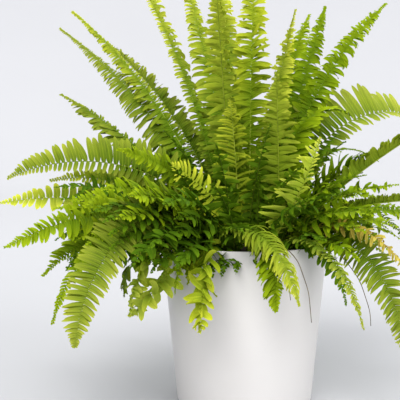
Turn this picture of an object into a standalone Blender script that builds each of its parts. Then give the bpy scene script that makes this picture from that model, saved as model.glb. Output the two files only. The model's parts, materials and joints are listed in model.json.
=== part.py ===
"""A Boston fern in a plain white tapered pot: pot, soil, arching fronds and a few wiry runners.

Every frond is one thin arched blade, cut to its rib between the leaflets, and stands by its stalk
in a plain hole in the soil. Metres, +Z up, origin under the middle of the pot. The side at -Y is
the plant's front, and azimuths run anticlockwise from +X, so 270 degrees points to the front.
"""

import math
import random
from typing import NamedTuple

import bmesh
import bpy
from mathutils import Vector
from mathutils.bvhtree import BVHTree

# Pot
POT_HEIGHT = 0.240
RIM_RADIUS = 0.125
BASE_RADIUS = 0.102
WALL = 0.0045
FLOOR = 0.006
LIP_ROUND = 0.0015
FOOT_BEVEL = 0.002
POT_SIDES = 36
SMOOTH_BELOW = 40.0  # degrees between faces that are shaded as one round surface

# Soil
SOIL_DROP = 0.022  # from the rim down to the soil
SOIL_CROWN = 0.008  # rise of the soil towards the middle
SOIL_DEPTH = 0.120
SOIL_RINGS = 4  # rings of facets in the soil's domed top
CLEARANCE = 0.0003
HOLE_GAP = 0.00035
HOLE_ABOVE = 0.004  # how far a hole's cutter stands out of the soil

# Fronds
CROWN_RADIUS = 0.080  # the patch of soil that the stalks rise from
CROWN_INSIDE = 1.06  # a stalk stands inside the crown's edge by how upright it is, against this
CROWN_POWER = 0.6
ROOT_WANDER = 7.0  # degrees that a stalk's foot wanders round the crown
ROOT_WANDER_RATE = 2.4
SETTLE_ROUNDS = 60
STALK_SPACING = 0.0095
STALK_IN_SOIL = 0.016
RIB_HALF_WIDTH = 0.0013
RIB_DEPTH = 0.0018
RIB_NARROWS = 0.45  # share of its width that a rib loses by its tip
RIB_FLATTENS = 0.5  # the same for its depth
BLADE_EDGE = 0.0006
LEAFLET_LEAST = 0.004
LOWEST_LEAFLET = 0.2  # length of the lowest leaflets, as a share of the longest
SWELL_RATE = 3.2
TIP_POWER = 2.2  # how late, and how bluntly, the blade narrows to its tip
TIP_ROUND = 0.75
LEAST_PAIRS = 7
LEAFY_END = 0.985  # share of the length at which the last leaflets end
LEAFLET_PITCH = 0.006  # least distance between leaflets, which long ones need more of
PITCH_PER_LENGTH = 0.37
LEAN = 0.3  # how far past its middle a leaflet leans to the frond's tip, in pitches
STAGGER = 0.25  # how far the left leaflets are ahead of the rib's sections, and the right ones behind
UPRIGHT = 88.0  # degrees at which every stalk leaves the soil
STALK_TURN = 0.018  # length over which it turns to its own rise
ROLL_REACHED = 0.4  # share of the length at which a blade has its full roll
PATH_STEPS = 48
ENVELOPE_STEPS = 22
ENVELOPE_HALF = 0.0014  # half the thickness of the space that a blade keeps to itself
ENVELOPE_KEEL = 0.001  # how much deeper that space is below the rib
ENVELOPE_LEAST = 0.002
ENVELOPE_WIDER = 1.04
ENVELOPE_END = 1.02
BEND_TRIES = 900
NUDGE_START = 1.0  # degrees
NUDGE_GROWTH = 0.015  # degrees more at each attempt
ROLL_NUDGE = 3.0  # a blade rolls this much more freely than it turns
SWEEP_NUDGE = 1.5
SHRINK = 0.2  # share of its size that a frond has given up by the last attempt

# Runners
RUNNER_SIZE = 0.75  # thickness of a runner, as a share of a rib's
RUNNER_ROWS = 14


class Habit(NamedTuple):
    """How one frond grows. Angles are in degrees, lengths in metres.

    It leaves the soil upright, turns to its rise, and climbs by its droop less at the tip than there,
    the later the larger the bend. The roll tips the blade about its rib, and the sweep turns its tip
    sideways. The leaflets fold up from the rib.
    """

    name: str
    azimuth: float
    rise: float
    length: float
    droop: float
    roll: float = 0.0
    sweep: float = 0.0
    half_width: float = 0.034
    age: str = "grown"
    bend: float = 1.0
    fold: float = 12.0
    bare: float = 0.07  # share of the length that is stalk
    stand: tuple = ()  # where the stalk leaves the soil, as X and Y, if not where its rise puts it


LEFT = [
    Habit("left_long_upper", 188, 75, 0.38, 101, -47, 0, 0.032, bend=0.78, stand=(-0.041, -0.003)),
    Habit("left_second", 185, 61, 0.28, 74, -40, 0, 0.017, bend=0.93, stand=(-0.063, -0.001)),
    Habit("left_third", 184, 40, 0.325, 52, -35, 0, 0.020, bend=0.8, stand=(-0.078, 0.006)),
    Habit("left_low", 208, 40, 0.346, 68, -35, 0, 0.026, bend=0.79, stand=(-0.055, -0.030)),
    Habit("left_lowest", 207, 30, 0.275, 76, -20, 0, 0.020, stand=(-0.073, -0.026)),
    Habit("left_thin_rising", 163, 56, 0.359, 30, -35, 0, 0.021, bend=0.97, stand=(-0.045, 0.019)),
    Habit("left_bright_near", 206, 77, 0.25, 66, -30, 0, 0.026, "young", bend=0.8),
    Habit("left_big_near", 227, 66, 0.419, 151, -20, 0, 0.044, bend=0.77, stand=(-0.029, -0.018)),
    Habit("left_tail", 214, 53, 0.335, 132, -30, 0, 0.017, bend=0.82, stand=(-0.063, -0.032)),
    Habit("left_hanging", 203, 47, 0.182, 139, 0, 0, 0.020, bend=0.77, stand=(-0.076, -0.014)),
    Habit("left_curly", 220, 52, 0.20, 140, 10, 0, 0.024, "young", bend=0.65, stand=(-0.066, -0.037)),
]

UPPER_LEFT = [
    Habit("top_left_outer", 156, 66, 0.46, 34, -45, 0, 0.032),
    Habit("top_left_second", 150, 70, 0.48, 36, -50, 0, 0.030),
    Habit("top_left_middle", 143, 72, 0.488, 40, -50, 0, 0.020, stand=(-0.022, 0.036)),
    Habit("top_left_inner", 140, 79, 0.50, 28, 0, 0, 0.028, stand=(-0.030, 0.014)),
]

MIDDLE = [
    Habit("middle_tall_left", 240, 88, 0.44, 8, 0, 0, 0.040, stand=(-0.018, 0.010)),
    Habit("middle_tall", 84, 84, 0.50, 22, 0, 0, 0.038, stand=(0.008, 0.030)),
    Habit("middle_bright", 240, 88, 0.23, 12, 0, 0, 0.027, "young", bare=0.18, stand=(-0.008, -0.014)),
    Habit("middle_right", 256, 88, 0.27, 10, 0, 0, 0.034, "young", bare=0.22, stand=(0.050, -0.030)),
]

RIGHT = [
    Habit("top_right", 38, 74, 0.49, 40, 40, 0, 0.030),
    Habit("right_upper_thin", 37, 79, 0.412, 94, 40, 0, 0.032, bend=1.19, stand=(0.047, 0.013)),
    Habit("right_upper_broad", 45, 79, 0.34, 150, 20, 0, 0.028, bend=2.4, stand=(0.058, 0.003)),
    Habit("right_edge_on", 352, 48, 0.44, 27, -10, 0, 0.024, stand=(0.064, -0.001)),
    Habit("right_level", 0, 39, 0.42, 56, -8, 0, 0.024),
    Habit("right_low", 345, 36, 0.38, 76, 24, 0, 0.026),
    Habit("right_dying", 323, 62, 0.26, 130, 20, 0, 0.018, "old", bend=0.8, stand=(0.068, -0.052)),
    Habit("right_broad_hanging", 313, 56, 0.31, 146, 24, 0, 0.036, bend=0.65, stand=(0.074, -0.029)),
    Habit("right_narrow_hanging", 318, 50, 0.17, 130, 20, 0, 0.022, bend=0.7, stand=(0.062, -0.054)),
    Habit("right_arching", 301, 46, 0.256, 117, -10, 0, 0.017, bend=0.71, stand=(0.043, -0.069)),
    Habit("right_bright_leaning", 320, 48, 0.20, -24, -10, 0, 0.022, "young", stand=(0.034, -0.066)),
    Habit("right_bright_small", 0, 92, 0.15, -1, 0, 0, 0.015, "young", bare=0.2, stand=(0.062, -0.038)),
]

FRONT = [
    Habit("front_bright_arch", 306, 76, 0.268, 148, 10, 0, 0.028, "young", bend=0.67, stand=(-0.058, -0.061)),
    Habit(
        "left_bright_leaning", 190, 76, 0.19, 44, -50, 0, 0.024, "young", 0.35, stand=(0.012, -0.044)
    ),
    Habit("front_small", 278, 52, 0.19, 140, 30, 0, 0.014, bend=0.8, stand=(0.016, -0.070)),
    Habit("front_curl", 262, 42, 0.20, 130, 30, 0, 0.016, "young", bend=0.65, stand=(-0.050, -0.062)),
]

INNER = [
    Habit("left_arch_inner", 170, 52, 0.34, 76, -42, 0, 0.030, bend=0.8),
    Habit("left_front_low", 240, 60, 0.21, 126, -10, 0, 0.028, bend=0.9, stand=(-0.073, -0.052)),
    Habit("middle_tall_far_left", 118, 80, 0.47, 18, 0, 0, 0.036, stand=(-0.014, 0.034)),
    Habit("middle_tall_far_right", 52, 80, 0.50, 22, 0, 0, 0.034, stand=(0.032, 0.030)),
    Habit("middle_right_back", 34, 82, 0.38, 18, 0, 0, 0.032, stand=(0.026, 0.010)),
    Habit("middle_low_right", 300, 62, 0.13, 50, 0, 0, 0.026, stand=(0.030, -0.034)),
    Habit("right_inner", 2, 58, 0.24, 56, 20, 0, 0.026, stand=(0.052, -0.014)),
    Habit("right_inner_far", 26, 60, 0.32, 72, 30, 0, 0.036),
    Habit("middle_tall_back", 100, 79, 0.50, 20, 0, 0, 0.038, stand=(-0.004, 0.045)),
    Habit("top_right_back", 62, 75, 0.49, 24, 0, 0, 0.036, stand=(0.026, 0.043)),
    Habit("left_inner_low", 240, 70, 0.16, 80, -10, 0, 0.022, stand=(-0.014, -0.040)),
    Habit("middle_low", 272, 86, 0.13, 26, 0, 0, 0.024, stand=(0.018, -0.026)),
]

FRONT_AND_SIDES = FRONT + LEFT + UPPER_LEFT + MIDDLE + RIGHT + INNER

RUNNERS = [
    Habit("front_runner", 294, 58, 0.15, 146, half_width=0, age="runner", bend=0.6, stand=(0.030, -0.084)),
    Habit("front_runner_2", 294, 58, 0.18, 146, half_width=0, age="runner", bend=0.6, stand=(0.042, -0.080)),
    Habit("right_runner", 310, 50, 0.22, 136, half_width=0, age="runner", bend=0.6, stand=(0.076, -0.050)),
]

# The far side's fronds, in a low and a high tier
BACK_COUNT = 7
BACK_FROM = 28.0
BACK_SPAN = 118.0
BACK_LENGTH = 0.44
BACK_HALF_WIDTH = 0.033
LOW_TIER = {"rise": 46, "droop": 112, "radius": 0.078}
HIGH_TIER = {"rise": 63, "droop": 92, "radius": 0.066}


def back_habits():
    """The far side's fronds, spread evenly from right to left, high and low in turn."""
    draw = random.Random(11)
    found = []
    for k in range(BACK_COUNT):
        azimuth = BACK_FROM + BACK_SPAN * (k + 0.5) / BACK_COUNT
        turn = math.radians(azimuth)
        low = k % 2 == 0
        tier = LOW_TIER if low else HIGH_TIER
        found.append(
            Habit(
                name="back_low" if low else "back_high",
                azimuth=azimuth,
                rise=tier["rise"] + draw.uniform(-4, 4),
                length=BACK_LENGTH + draw.uniform(-0.04, 0.03),
                droop=tier["droop"] + draw.uniform(-8, 8),
                roll=draw.uniform(-12, 12),
                half_width=BACK_HALF_WIDTH,
                bend=0.85,
                stand=(tier["radius"] * math.cos(turn), tier["radius"] * math.sin(turn)),
            )
        )
    return found


class Path:
    """A frond's rachis, sampled from root to tip, with its side and face directions."""

    def __init__(self, habit, root):
        self.habit = habit
        step = habit.length / PATH_STEPS
        point = root.copy()
        self.points, self.tangents, self.sides, self.faces = [], [], [], []
        for i in range(PATH_STEPS + 1):
            share = i / PATH_STEPS
            start = (UPRIGHT - habit.rise) * math.exp(-share * habit.length / STALK_TURN)
            climb = math.radians(habit.rise + start - habit.droop * share**habit.bend)
            heading = math.radians(habit.azimuth + habit.sweep * share * share)
            tangent = Vector(
                (
                    math.cos(climb) * math.cos(heading),
                    math.cos(climb) * math.sin(heading),
                    math.sin(climb),
                )
            )
            side = Vector((-math.sin(heading), math.cos(heading), 0))
            face = tangent.cross(side)
            roll = math.radians(habit.roll) * min(1.0, share / ROLL_REACHED)
            self.points.append(point.copy())
            self.tangents.append(tangent)
            self.sides.append(side * math.cos(roll) + face * math.sin(roll))
            self.faces.append(face * math.cos(roll) - side * math.sin(roll))
            point += tangent * step

    def at(self, share):
        """(point, tangent, side, face) at a share of the length."""
        place = min(max(share, 0.0), 1.0) * PATH_STEPS
        i = min(int(place), PATH_STEPS - 1)
        f = place - i
        mixed = [
            row[i].lerp(row[i + 1], f)
            for row in (self.points, self.tangents, self.sides, self.faces)
        ]
        return mixed[0], mixed[1].normalized(), mixed[2].normalized(), mixed[3].normalized()


def leaflet_length(habit, share):
    """Length of the leaflets at this share of the frond: short at the stalk, longest below the middle."""
    x = min((share - habit.bare) / (1 - habit.bare), 1.0)
    if x <= 0 or habit.half_width == 0:
        return 0.0
    swell = min(1.0, LOWEST_LEAFLET + SWELL_RATE * x)
    taper = (1 - x**TIP_POWER) ** TIP_ROUND
    return max(habit.half_width * swell * taper, LEAFLET_LEAST)


def rib_half_width(share):
    """Half the width of the rib at this share of the frond."""
    return RIB_HALF_WIDTH * (1 - RIB_NARROWS * share)


def envelope(path, blade_only=False):
    """A closed-up strip round the whole blade, which no other frond may enter."""
    habit = path.habit
    first = habit.bare if blade_only else 0.0
    vertices, polygons = [], []
    previous = None
    for i in range(ENVELOPE_STEPS + 1):
        share = first + (ENVELOPE_END - first) * i / ENVELOPE_STEPS
        point, _, side, face = path.at(share)
        reach = max(leaflet_length(habit, share) * ENVELOPE_WIDER, ENVELOPE_LEAST)
        fold = math.radians(habit.fold)
        ring = []
        out = side * reach * math.cos(fold)
        raised = face * reach * math.sin(fold)
        for lift, keel in ((ENVELOPE_HALF, 0.0), (-ENVELOPE_HALF, ENVELOPE_KEEL)):
            up = face * lift
            ring.append(point + out + raised + up)
            ring.append(point + up - face * keel)
            ring.append(point - out + raised + up)
        base = len(vertices)
        vertices.extend(ring)
        current = [base, base + 1, base + 2, base + 5, base + 4, base + 3]
        if previous:
            for a, b in zip(range(6), [1, 2, 3, 4, 5, 0]):
                polygons.append((previous[a], previous[b], current[b], current[a]))
        previous = current
    return BVHTree.FromPolygons(vertices, polygons)


def soil_height(radius):
    """Height of the soil's top at this distance from the middle."""
    inner = RIM_RADIUS - WALL
    return POT_HEIGHT - SOIL_DROP + SOIL_CROWN * (1 - (radius / inner) ** 2)


def stalk_roots(habits):
    """Where each stalk leaves the soil: the more upright, the nearer the middle, and none too close."""
    places = []
    for k, habit in enumerate(habits):
        if habit.stand:
            places.append(Vector(habit.stand))
            continue
        radius = CROWN_RADIUS * min(1.0, (CROWN_INSIDE - habit.rise / 90) ** CROWN_POWER)
        turn = math.radians(habit.azimuth + ROOT_WANDER * math.sin(ROOT_WANDER_RATE * k))
        places.append(Vector((radius * math.cos(turn), radius * math.sin(turn))))
    for _ in range(SETTLE_ROUNDS):
        for i, a in enumerate(places):
            for b in places[i + 1 :]:
                gap = b - a
                short = STALK_SPACING - gap.length
                if short > 0:
                    push = gap.normalized() * short * 0.5
                    a -= push
                    b += push
        for place in places:
            if place.length > CROWN_RADIUS:
                place *= CROWN_RADIUS / place.length
    return [Vector((p.x, p.y, soil_height(p.length))) for p in places]


def clear_paths(habits, roots, obstacles):
    """Each frond's path, bent clear of those already placed, of the pot and of the soil.

    A frond is first tried as it is described, then with small changes that slowly grow.
    """
    placed, spaces = [], []
    for k, (habit, root) in enumerate(zip(habits, roots)):
        draw = random.Random(100 + k)
        fewest = None
        for attempt in range(BEND_TRIES):
            spread = NUDGE_START * (attempt > 0) + NUDGE_GROWTH * attempt
            moved = habit._replace(
                azimuth=habit.azimuth + draw.gauss(0, spread),
                rise=habit.rise + draw.gauss(0, spread),
                droop=habit.droop + draw.gauss(0, spread),
                roll=habit.roll + draw.gauss(0, ROLL_NUDGE * spread),
                sweep=habit.sweep + draw.gauss(0, SWEEP_NUDGE * spread),
                length=habit.length * (1 - SHRINK * attempt / BEND_TRIES),
                half_width=habit.half_width * (1 - SHRINK * attempt / BEND_TRIES),
            )
            path = Path(moved, root)
            space = envelope(path)
            blade = envelope(path, blade_only=True)
            hits = sum(1 for other in spaces if space.overlap(other))
            hits += sum(1 for other in obstacles if blade.overlap(other))
            if fewest is None or hits < fewest:
                fewest, best_path, best_space = hits, path, space
            if hits == 0:
                break
        placed.append(best_path)
        spaces.append(best_space)
    return placed


def new_object(name, mesh_maker, material):
    """An object with the mesh that mesh_maker fills in."""
    mesh = bpy.data.meshes.new(name)
    bm = bmesh.new()
    mesh_maker(bm)
    bm.to_mesh(mesh)
    bm.free()
    obj = bpy.data.objects.new(name, mesh)
    bpy.context.scene.collection.objects.link(obj)
    mesh.materials.append(material)
    return obj


def stalk_section(path, share=0.0, stagger=0.0, size=1.0):
    """The three corners of a rib or stalk: two on its upper side and one below."""
    half = rib_half_width(share) * size
    point, _, _, face = path.at(share)
    left, _, left_side, _ = path.at(share + stagger)
    right, _, right_side, _ = path.at(share - stagger)
    return [
        left + left_side * half,
        right - right_side * half,
        point - face * RIB_DEPTH * size * (1 - RIB_FLATTENS * share),
    ]


def widened(triangle, gap):
    """The triangle with each side moved out by the gap."""
    a, b, c = triangle
    sides = [(b - c).length, (c - a).length, (a - b).length]
    around = sum(sides)
    middle = (a * sides[0] + b * sides[1] + c * sides[2]) / around
    inner_radius = (b - a).cross(c - a).length / around
    return [middle + (corner - middle) * (1 + gap / inner_radius) for corner in triangle]


def close_rows(bm, rows):
    """Walls between three-cornered rows of vertices."""
    for a, b in zip(rows, rows[1:]):
        bm.faces.new((a[0], b[0], b[1], a[1]))
        bm.faces.new((a[0], a[2], b[2], b[0]))
        bm.faces.new((a[1], b[1], b[2], a[2]))


def new_row(bm, corners, drop=0.0):
    """A row of vertices at these corners, lowered by the drop."""
    return [bm.verts.new(corner - Vector((0, 0, drop))) for corner in corners]


def fill_runner(bm, path):
    """A thin bare thread, three-sided, that stands in the soil at one end."""
    rows = [new_row(bm, stalk_section(path, size=RUNNER_SIZE), STALK_IN_SOIL)]
    for i in range(RUNNER_ROWS + 1):
        rows.append(new_row(bm, stalk_section(path, i / RUNNER_ROWS, size=RUNNER_SIZE)))
    close_rows(bm, rows)
    bm.faces.new(rows[0])
    bm.faces.new(rows[-1])
    bmesh.ops.recalc_face_normals(bm, faces=bm.faces[:])
    bmesh.ops.triangulate(bm, faces=bm.faces[:])


def fill_holes(bm, paths):
    """One plain upright plug for each stalk, a little wider and deeper than the stalk."""
    for path in paths:
        size = RUNNER_SIZE if path.habit.age == "runner" else 1.0
        corners = [Vector((c.x, c.y, 0)) for c in stalk_section(path, size=size)]
        corners = widened(corners, HOLE_GAP)
        rows = []
        top = path.points[0].z
        for height in (top - STALK_IN_SOIL - HOLE_GAP, top + HOLE_ABOVE):
            rows.append([bm.verts.new((c.x, c.y, height)) for c in corners])
        close_rows(bm, rows)
        bm.faces.new(rows[0])
        bm.faces.new(rows[1])
    bmesh.ops.recalc_face_normals(bm, faces=bm.faces[:])


def fill_frond(bm, path):
    """One thin blade cut to the rib, with a three-sided rib and stalk below it."""
    habit = path.habit
    leafy = habit.length * (1 - habit.bare)
    pairs = max(LEAST_PAIRS, round(leafy / (LEAFLET_PITCH + PITCH_PER_LENGTH * habit.half_width)))
    spacing = (LEAFY_END - habit.bare) / pairs
    fold = math.radians(habit.fold)

    def leaflet(a, b, middle, way):
        _, _, side, face = path.at(middle)
        point = path.at(middle + LEAN * spacing)[0]
        reach = leaflet_length(habit, middle)
        tip = point + side * way * reach * math.cos(fold) + face * reach * math.sin(fold)
        top = bm.verts.new(tip + face * BLADE_EDGE / 2)
        low = bm.verts.new(tip - face * BLADE_EDGE / 2)
        k = 0 if way > 0 else 1
        corners = [
            (a[k], top, b[k]),
            (a[2], b[2], low),
            (a[k], a[2], low, top),
            (b[k], top, low, b[2]),
        ]
        for corner in corners:
            bm.faces.new(corner if way > 0 else corner[::-1])

    shares = [habit.bare + spacing * i for i in range(pairs + 1)]
    rows = []
    for i, share in enumerate(shares):
        stagger = spacing * STAGGER if 0 < i < pairs else 0.0
        rows.append(new_row(bm, stalk_section(path, share, stagger)))
    stalk = [
        new_row(bm, stalk_section(path), STALK_IN_SOIL),
        new_row(bm, stalk_section(path)),
        new_row(bm, stalk_section(path, habit.bare * 0.5)),
        rows[0],
    ]
    bm.faces.new(stalk[0])
    close_rows(bm, stalk)
    for a, b, first in zip(rows, rows[1:], shares):
        bm.faces.new((a[0], b[0], b[1], a[1]))
        leaflet(a, b, first + spacing * (0.5 + STAGGER), 1)
        leaflet(a, b, first + spacing * (0.5 - STAGGER), -1)
    end = bm.verts.new(path.at(1.0)[0])
    last = rows[-1]
    bm.faces.new((last[0], end, last[1]))
    bm.faces.new((last[0], last[2], end))
    bm.faces.new((last[1], end, last[2]))
    bmesh.ops.recalc_face_normals(bm, faces=bm.faces[:])
    bmesh.ops.triangulate(bm, faces=bm.faces[:])


def spin_profile(bm, profile, sides):
    """A closed solid turned about Z from (radius, height) points, the first and last on the axis."""
    rings = []
    for radius, height in profile:
        if radius == 0:
            rings.append([bm.verts.new((0, 0, height))])
            continue
        rings.append(
            [
                bm.verts.new(
                    (
                        radius * math.cos(2 * math.pi * k / sides),
                        radius * math.sin(2 * math.pi * k / sides),
                        height,
                    )
                )
                for k in range(sides)
            ]
        )
    for lower, upper in zip(rings, rings[1:]):
        for k in range(sides):
            j = (k + 1) % sides
            if len(lower) == 1:
                bm.faces.new((lower[0], upper[j], upper[k]))
            elif len(upper) == 1:
                bm.faces.new((lower[k], lower[j], upper[0]))
            else:
                bm.faces.new((lower[k], lower[j], upper[j], upper[k]))
    bmesh.ops.recalc_face_normals(bm, faces=bm.faces[:])


def pot_radius(height):
    """Outer radius of the pot's wall at this height."""
    return BASE_RADIUS + (RIM_RADIUS - BASE_RADIUS) * height / POT_HEIGHT


def pot_profile():
    """The pot's wall, from the middle of the underside, up outside, over the lip and down inside."""
    return [
        (0, 0),
        (BASE_RADIUS - FOOT_BEVEL, 0),
        (pot_radius(FOOT_BEVEL), FOOT_BEVEL),
        (pot_radius(POT_HEIGHT - LIP_ROUND), POT_HEIGHT - LIP_ROUND),
        (RIM_RADIUS - LIP_ROUND, POT_HEIGHT),
        (RIM_RADIUS - WALL + LIP_ROUND, POT_HEIGHT),
        (RIM_RADIUS - WALL, POT_HEIGHT - LIP_ROUND),
        (pot_radius(FLOOR) - WALL, FLOOR),
        (0, FLOOR),
    ]


def soil_profile():
    """The soil's outside: a plug that fills the pot's upper part with a domed top."""
    low = POT_HEIGHT - SOIL_DROP - SOIL_DEPTH
    top_radius = pot_radius(POT_HEIGHT - SOIL_DROP) - WALL - CLEARANCE
    radii = [top_radius * k / SOIL_RINGS for k in range(SOIL_RINGS, 0, -1)]
    return [
        (0, low),
        (pot_radius(low) - WALL - CLEARANCE, low),
        *((radius, soil_height(radius)) for radius in radii),
        (0, soil_height(0)),
    ]


def material(name, colour, roughness):
    """A plain non-metal finish."""
    made = bpy.data.materials.new(name)
    made.use_nodes = True
    shader = made.node_tree.nodes["Principled BSDF"]
    shader.inputs["Base Color"].default_value = (*colour, 1)
    shader.inputs["Roughness"].default_value = roughness
    return made


def main():
    """Clears the scene and builds the pot, the soil, the fronds and the runners."""
    for obj in list(bpy.data.objects):
        bpy.data.objects.remove(obj)
    finishes = {
        "pot": material("pot_white", (0.86, 0.85, 0.85), 0.35),
        "soil": material("soil_dark", (0.045, 0.030, 0.020), 0.95),
        "grown": material("leaf_grown", (0.09, 0.25, 0.02), 0.5),
        "young": material("leaf_young", (0.34, 0.48, 0.04), 0.5),
        "old": material("leaf_old", (0.62, 0.48, 0.06), 0.6),
        "runner": material("runner_brown", (0.16, 0.10, 0.05), 0.7),
    }
    pot = new_object("pot", lambda bm: spin_profile(bm, pot_profile(), POT_SIDES), finishes["pot"])
    pot.data.shade_smooth()
    pot.data.set_sharp_from_angle(angle=math.radians(SMOOTH_BELOW))
    soil = new_object("soil", lambda bm: spin_profile(bm, soil_profile(), POT_SIDES), finishes["soil"])
    graph = bpy.context.evaluated_depsgraph_get()
    obstacles = [BVHTree.FromObject(pot, graph), BVHTree.FromObject(soil, graph)]
    habits = FRONT_AND_SIDES + back_habits() + RUNNERS
    paths = clear_paths(habits, stalk_roots(habits), obstacles)
    holes = new_object("stalk_holes", lambda bm: fill_holes(bm, paths), finishes["soil"])
    holes.hide_render = True
    holes.display_type = "WIRE"
    cut = soil.modifiers.new("stalk_holes", "BOOLEAN")
    cut.operation = "DIFFERENCE"
    cut.solver = "EXACT"
    cut.object = holes
    fronds, runners = 0, 0
    for path in paths:
        finish = finishes[path.habit.age]
        if path.habit.age == "runner":
            runners += 1
            new_object(f"runner_{runners}", lambda bm: fill_runner(bm, path), finish)
        else:
            fronds += 1
            new_object(f"frond_{fronds:02d}", lambda bm: fill_frond(bm, path), finish)


main()
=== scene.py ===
"""The looks of a potted Boston fern: leafy fronds, a plain tapered pot, soil and wiry runners.

Every frond of the frame gives the line of one rib, the way its blade faces and how far its leaflets
reach. The frond made here keeps that line and carries thin, creased, sickle-shaped leaflets.
Metres, +Z up, and the side at -Y is the front.
"""

import json
import logging
import math
from contextlib import contextmanager
from dataclasses import dataclass, field, replace
from enum import Enum
from typing import Callable, Iterator, Sequence

import bmesh
import bpy
import numpy as np
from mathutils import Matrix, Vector


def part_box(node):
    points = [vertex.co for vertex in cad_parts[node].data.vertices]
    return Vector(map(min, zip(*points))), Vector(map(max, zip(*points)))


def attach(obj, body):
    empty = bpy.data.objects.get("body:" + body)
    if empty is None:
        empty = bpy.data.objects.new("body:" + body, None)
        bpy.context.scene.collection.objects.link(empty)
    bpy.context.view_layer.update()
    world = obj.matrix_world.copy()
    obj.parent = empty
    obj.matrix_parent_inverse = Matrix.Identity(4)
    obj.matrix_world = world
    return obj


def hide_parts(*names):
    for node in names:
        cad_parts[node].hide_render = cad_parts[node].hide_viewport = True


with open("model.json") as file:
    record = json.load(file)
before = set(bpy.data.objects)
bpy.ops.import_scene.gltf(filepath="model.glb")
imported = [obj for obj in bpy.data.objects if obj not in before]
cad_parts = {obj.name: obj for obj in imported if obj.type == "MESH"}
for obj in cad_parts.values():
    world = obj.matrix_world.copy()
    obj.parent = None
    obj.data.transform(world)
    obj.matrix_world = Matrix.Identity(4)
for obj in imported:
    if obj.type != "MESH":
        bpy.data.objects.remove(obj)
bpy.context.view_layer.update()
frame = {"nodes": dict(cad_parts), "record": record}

LOG = logging.getLogger("fern")
WELD = 0.00005  # vertices nearer than this are one
LEVEL = 0.00001  # heights nearer than this are the same
LEAFLET_MAP = "leaflet"
FROND_MAP = "frond"
UNDERSIDE = 2.0  # how far along its map the underside of a leaflet is laid
GOLDEN_TURN = 137.5

Array = np.ndarray
Colour = tuple[float, float, float]
Node = bpy.types.Node
NodeTree = bpy.types.NodeTree
Socket = bpy.types.NodeSocket
Material = bpy.types.Material
Object = bpy.types.Object


class Tone(Enum):
    """The tones of leaf on the plant, one of them a darker copy that paints the shade inside the crown."""

    # a darker copy of the leaf for fronds inside the crown and under it: painted shade
    DEEP_SHADE = "deep"
    GROWN = "grown"
    OLIVE = "olive"
    BRIGHT = "bright"
    YOUNG = "young"
    PALE = "pale"
    OLD = "old"


class Cut(Enum):
    """The outlines that a leaflet can have."""

    SICKLE = "sickle"
    BLUNT = "blunt"
    SMALL = "small"


# Modelling by hand


def deselect_all() -> None:
    """Leaves object mode with nothing selected."""
    if bpy.context.object and bpy.context.object.mode != "OBJECT":
        bpy.ops.object.mode_set(mode="OBJECT")
    bpy.ops.object.select_all(action="DESELECT")


def pick(obj: Object) -> None:
    """Selects one object alone."""
    deselect_all()
    obj.select_set(True)
    bpy.context.view_layer.objects.active = obj


@contextmanager
def editing(obj: Object) -> Iterator[None]:
    """Edit mode on one object alone, with nothing selected in it at the start.

    Args:
        obj: The mesh object to edit.
    """
    pick(obj)
    bpy.ops.object.mode_set(mode="EDIT")
    bpy.ops.mesh.select_all(action="DESELECT")
    try:
        yield
    finally:
        bpy.ops.object.mode_set(mode="OBJECT")


def select_where(obj: Object, test: Callable[[Vector], bool], faces: bool = False) -> None:
    """Selects an edited object's vertices or faces by their place.

    Args:
        obj: The object in edit mode.
        test: Says of a vertex's place, or a face's middle, whether it is picked.
        faces: Whether faces are picked and not vertices.
    """
    bpy.ops.mesh.select_mode(type="FACE" if faces else "VERT")
    bpy.ops.mesh.select_all(action="DESELECT")
    edited = bmesh.from_edit_mesh(obj.data)
    if faces:
        for face in edited.faces:
            face.select_set(test(face.calc_center_median()))
    else:
        for vertex in edited.verts:
            vertex.select_set(test(vertex.co))
    edited.select_flush_mode()
    bmesh.update_edit_mesh(obj.data)


def new_primitive(add: Callable[..., object], name: str, **sizes: object) -> Object:
    """Adds a primitive with nothing else selected, and names it.

    Args:
        add: The operator that adds it.
        name: The object's name.
        sizes: The operator's settings.

    Returns:
        The new object.
    """
    deselect_all()
    add(**sizes)
    made = bpy.context.object
    made.name = name
    made.data.name = name
    return made


def settle(obj: Object) -> None:
    """Puts an object's place, turn and size into its mesh."""
    pick(obj)
    bpy.ops.object.transform_apply(location=True, rotation=True, scale=True)


def new_disc(name: str, sides: int, radius: float, height: float) -> Object:
    """Adds a level disc about the middle, with its place in its mesh.

    Args:
        name: The object's name.
        sides: How many sides its edge has.
        radius: Its radius.
        height: The height it lies at.

    Returns:
        The disc.
    """
    add = bpy.ops.mesh.primitive_circle_add
    disc = new_primitive(add, name, vertices=sides, radius=radius, fill_type="NGON", location=(0, 0, height))
    settle(disc)
    return disc


def draw_out(climb: float, height: float, grow: float) -> None:
    """Extrudes what is selected by this climb to this height, and sizes it about the middle."""
    bpy.ops.mesh.extrude_region_move(TRANSFORM_OT_translate={"value": (0, 0, climb)})
    bpy.ops.transform.resize(value=(grow, grow, 1), center_override=(0, 0, height))


def face_outwards() -> None:
    """Points all faces of the edited object outwards."""
    bpy.ops.mesh.select_all(action="SELECT")
    bpy.ops.mesh.normals_make_consistent(inside=False)


def mesh_object(name: str, mesh: bpy.types.Mesh) -> Object:
    """The object of a finished mesh, in the scene under this name."""
    made = bpy.data.objects.new(name, mesh)
    bpy.context.scene.collection.objects.link(made)
    return made


def shade_smooth(obj: Object, degrees: float) -> None:
    """Shades an object smooth where its faces meet at less than this angle."""
    obj.data.shade_smooth()
    obj.data.set_sharp_from_angle(angle=math.radians(degrees))


# Shading


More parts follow.
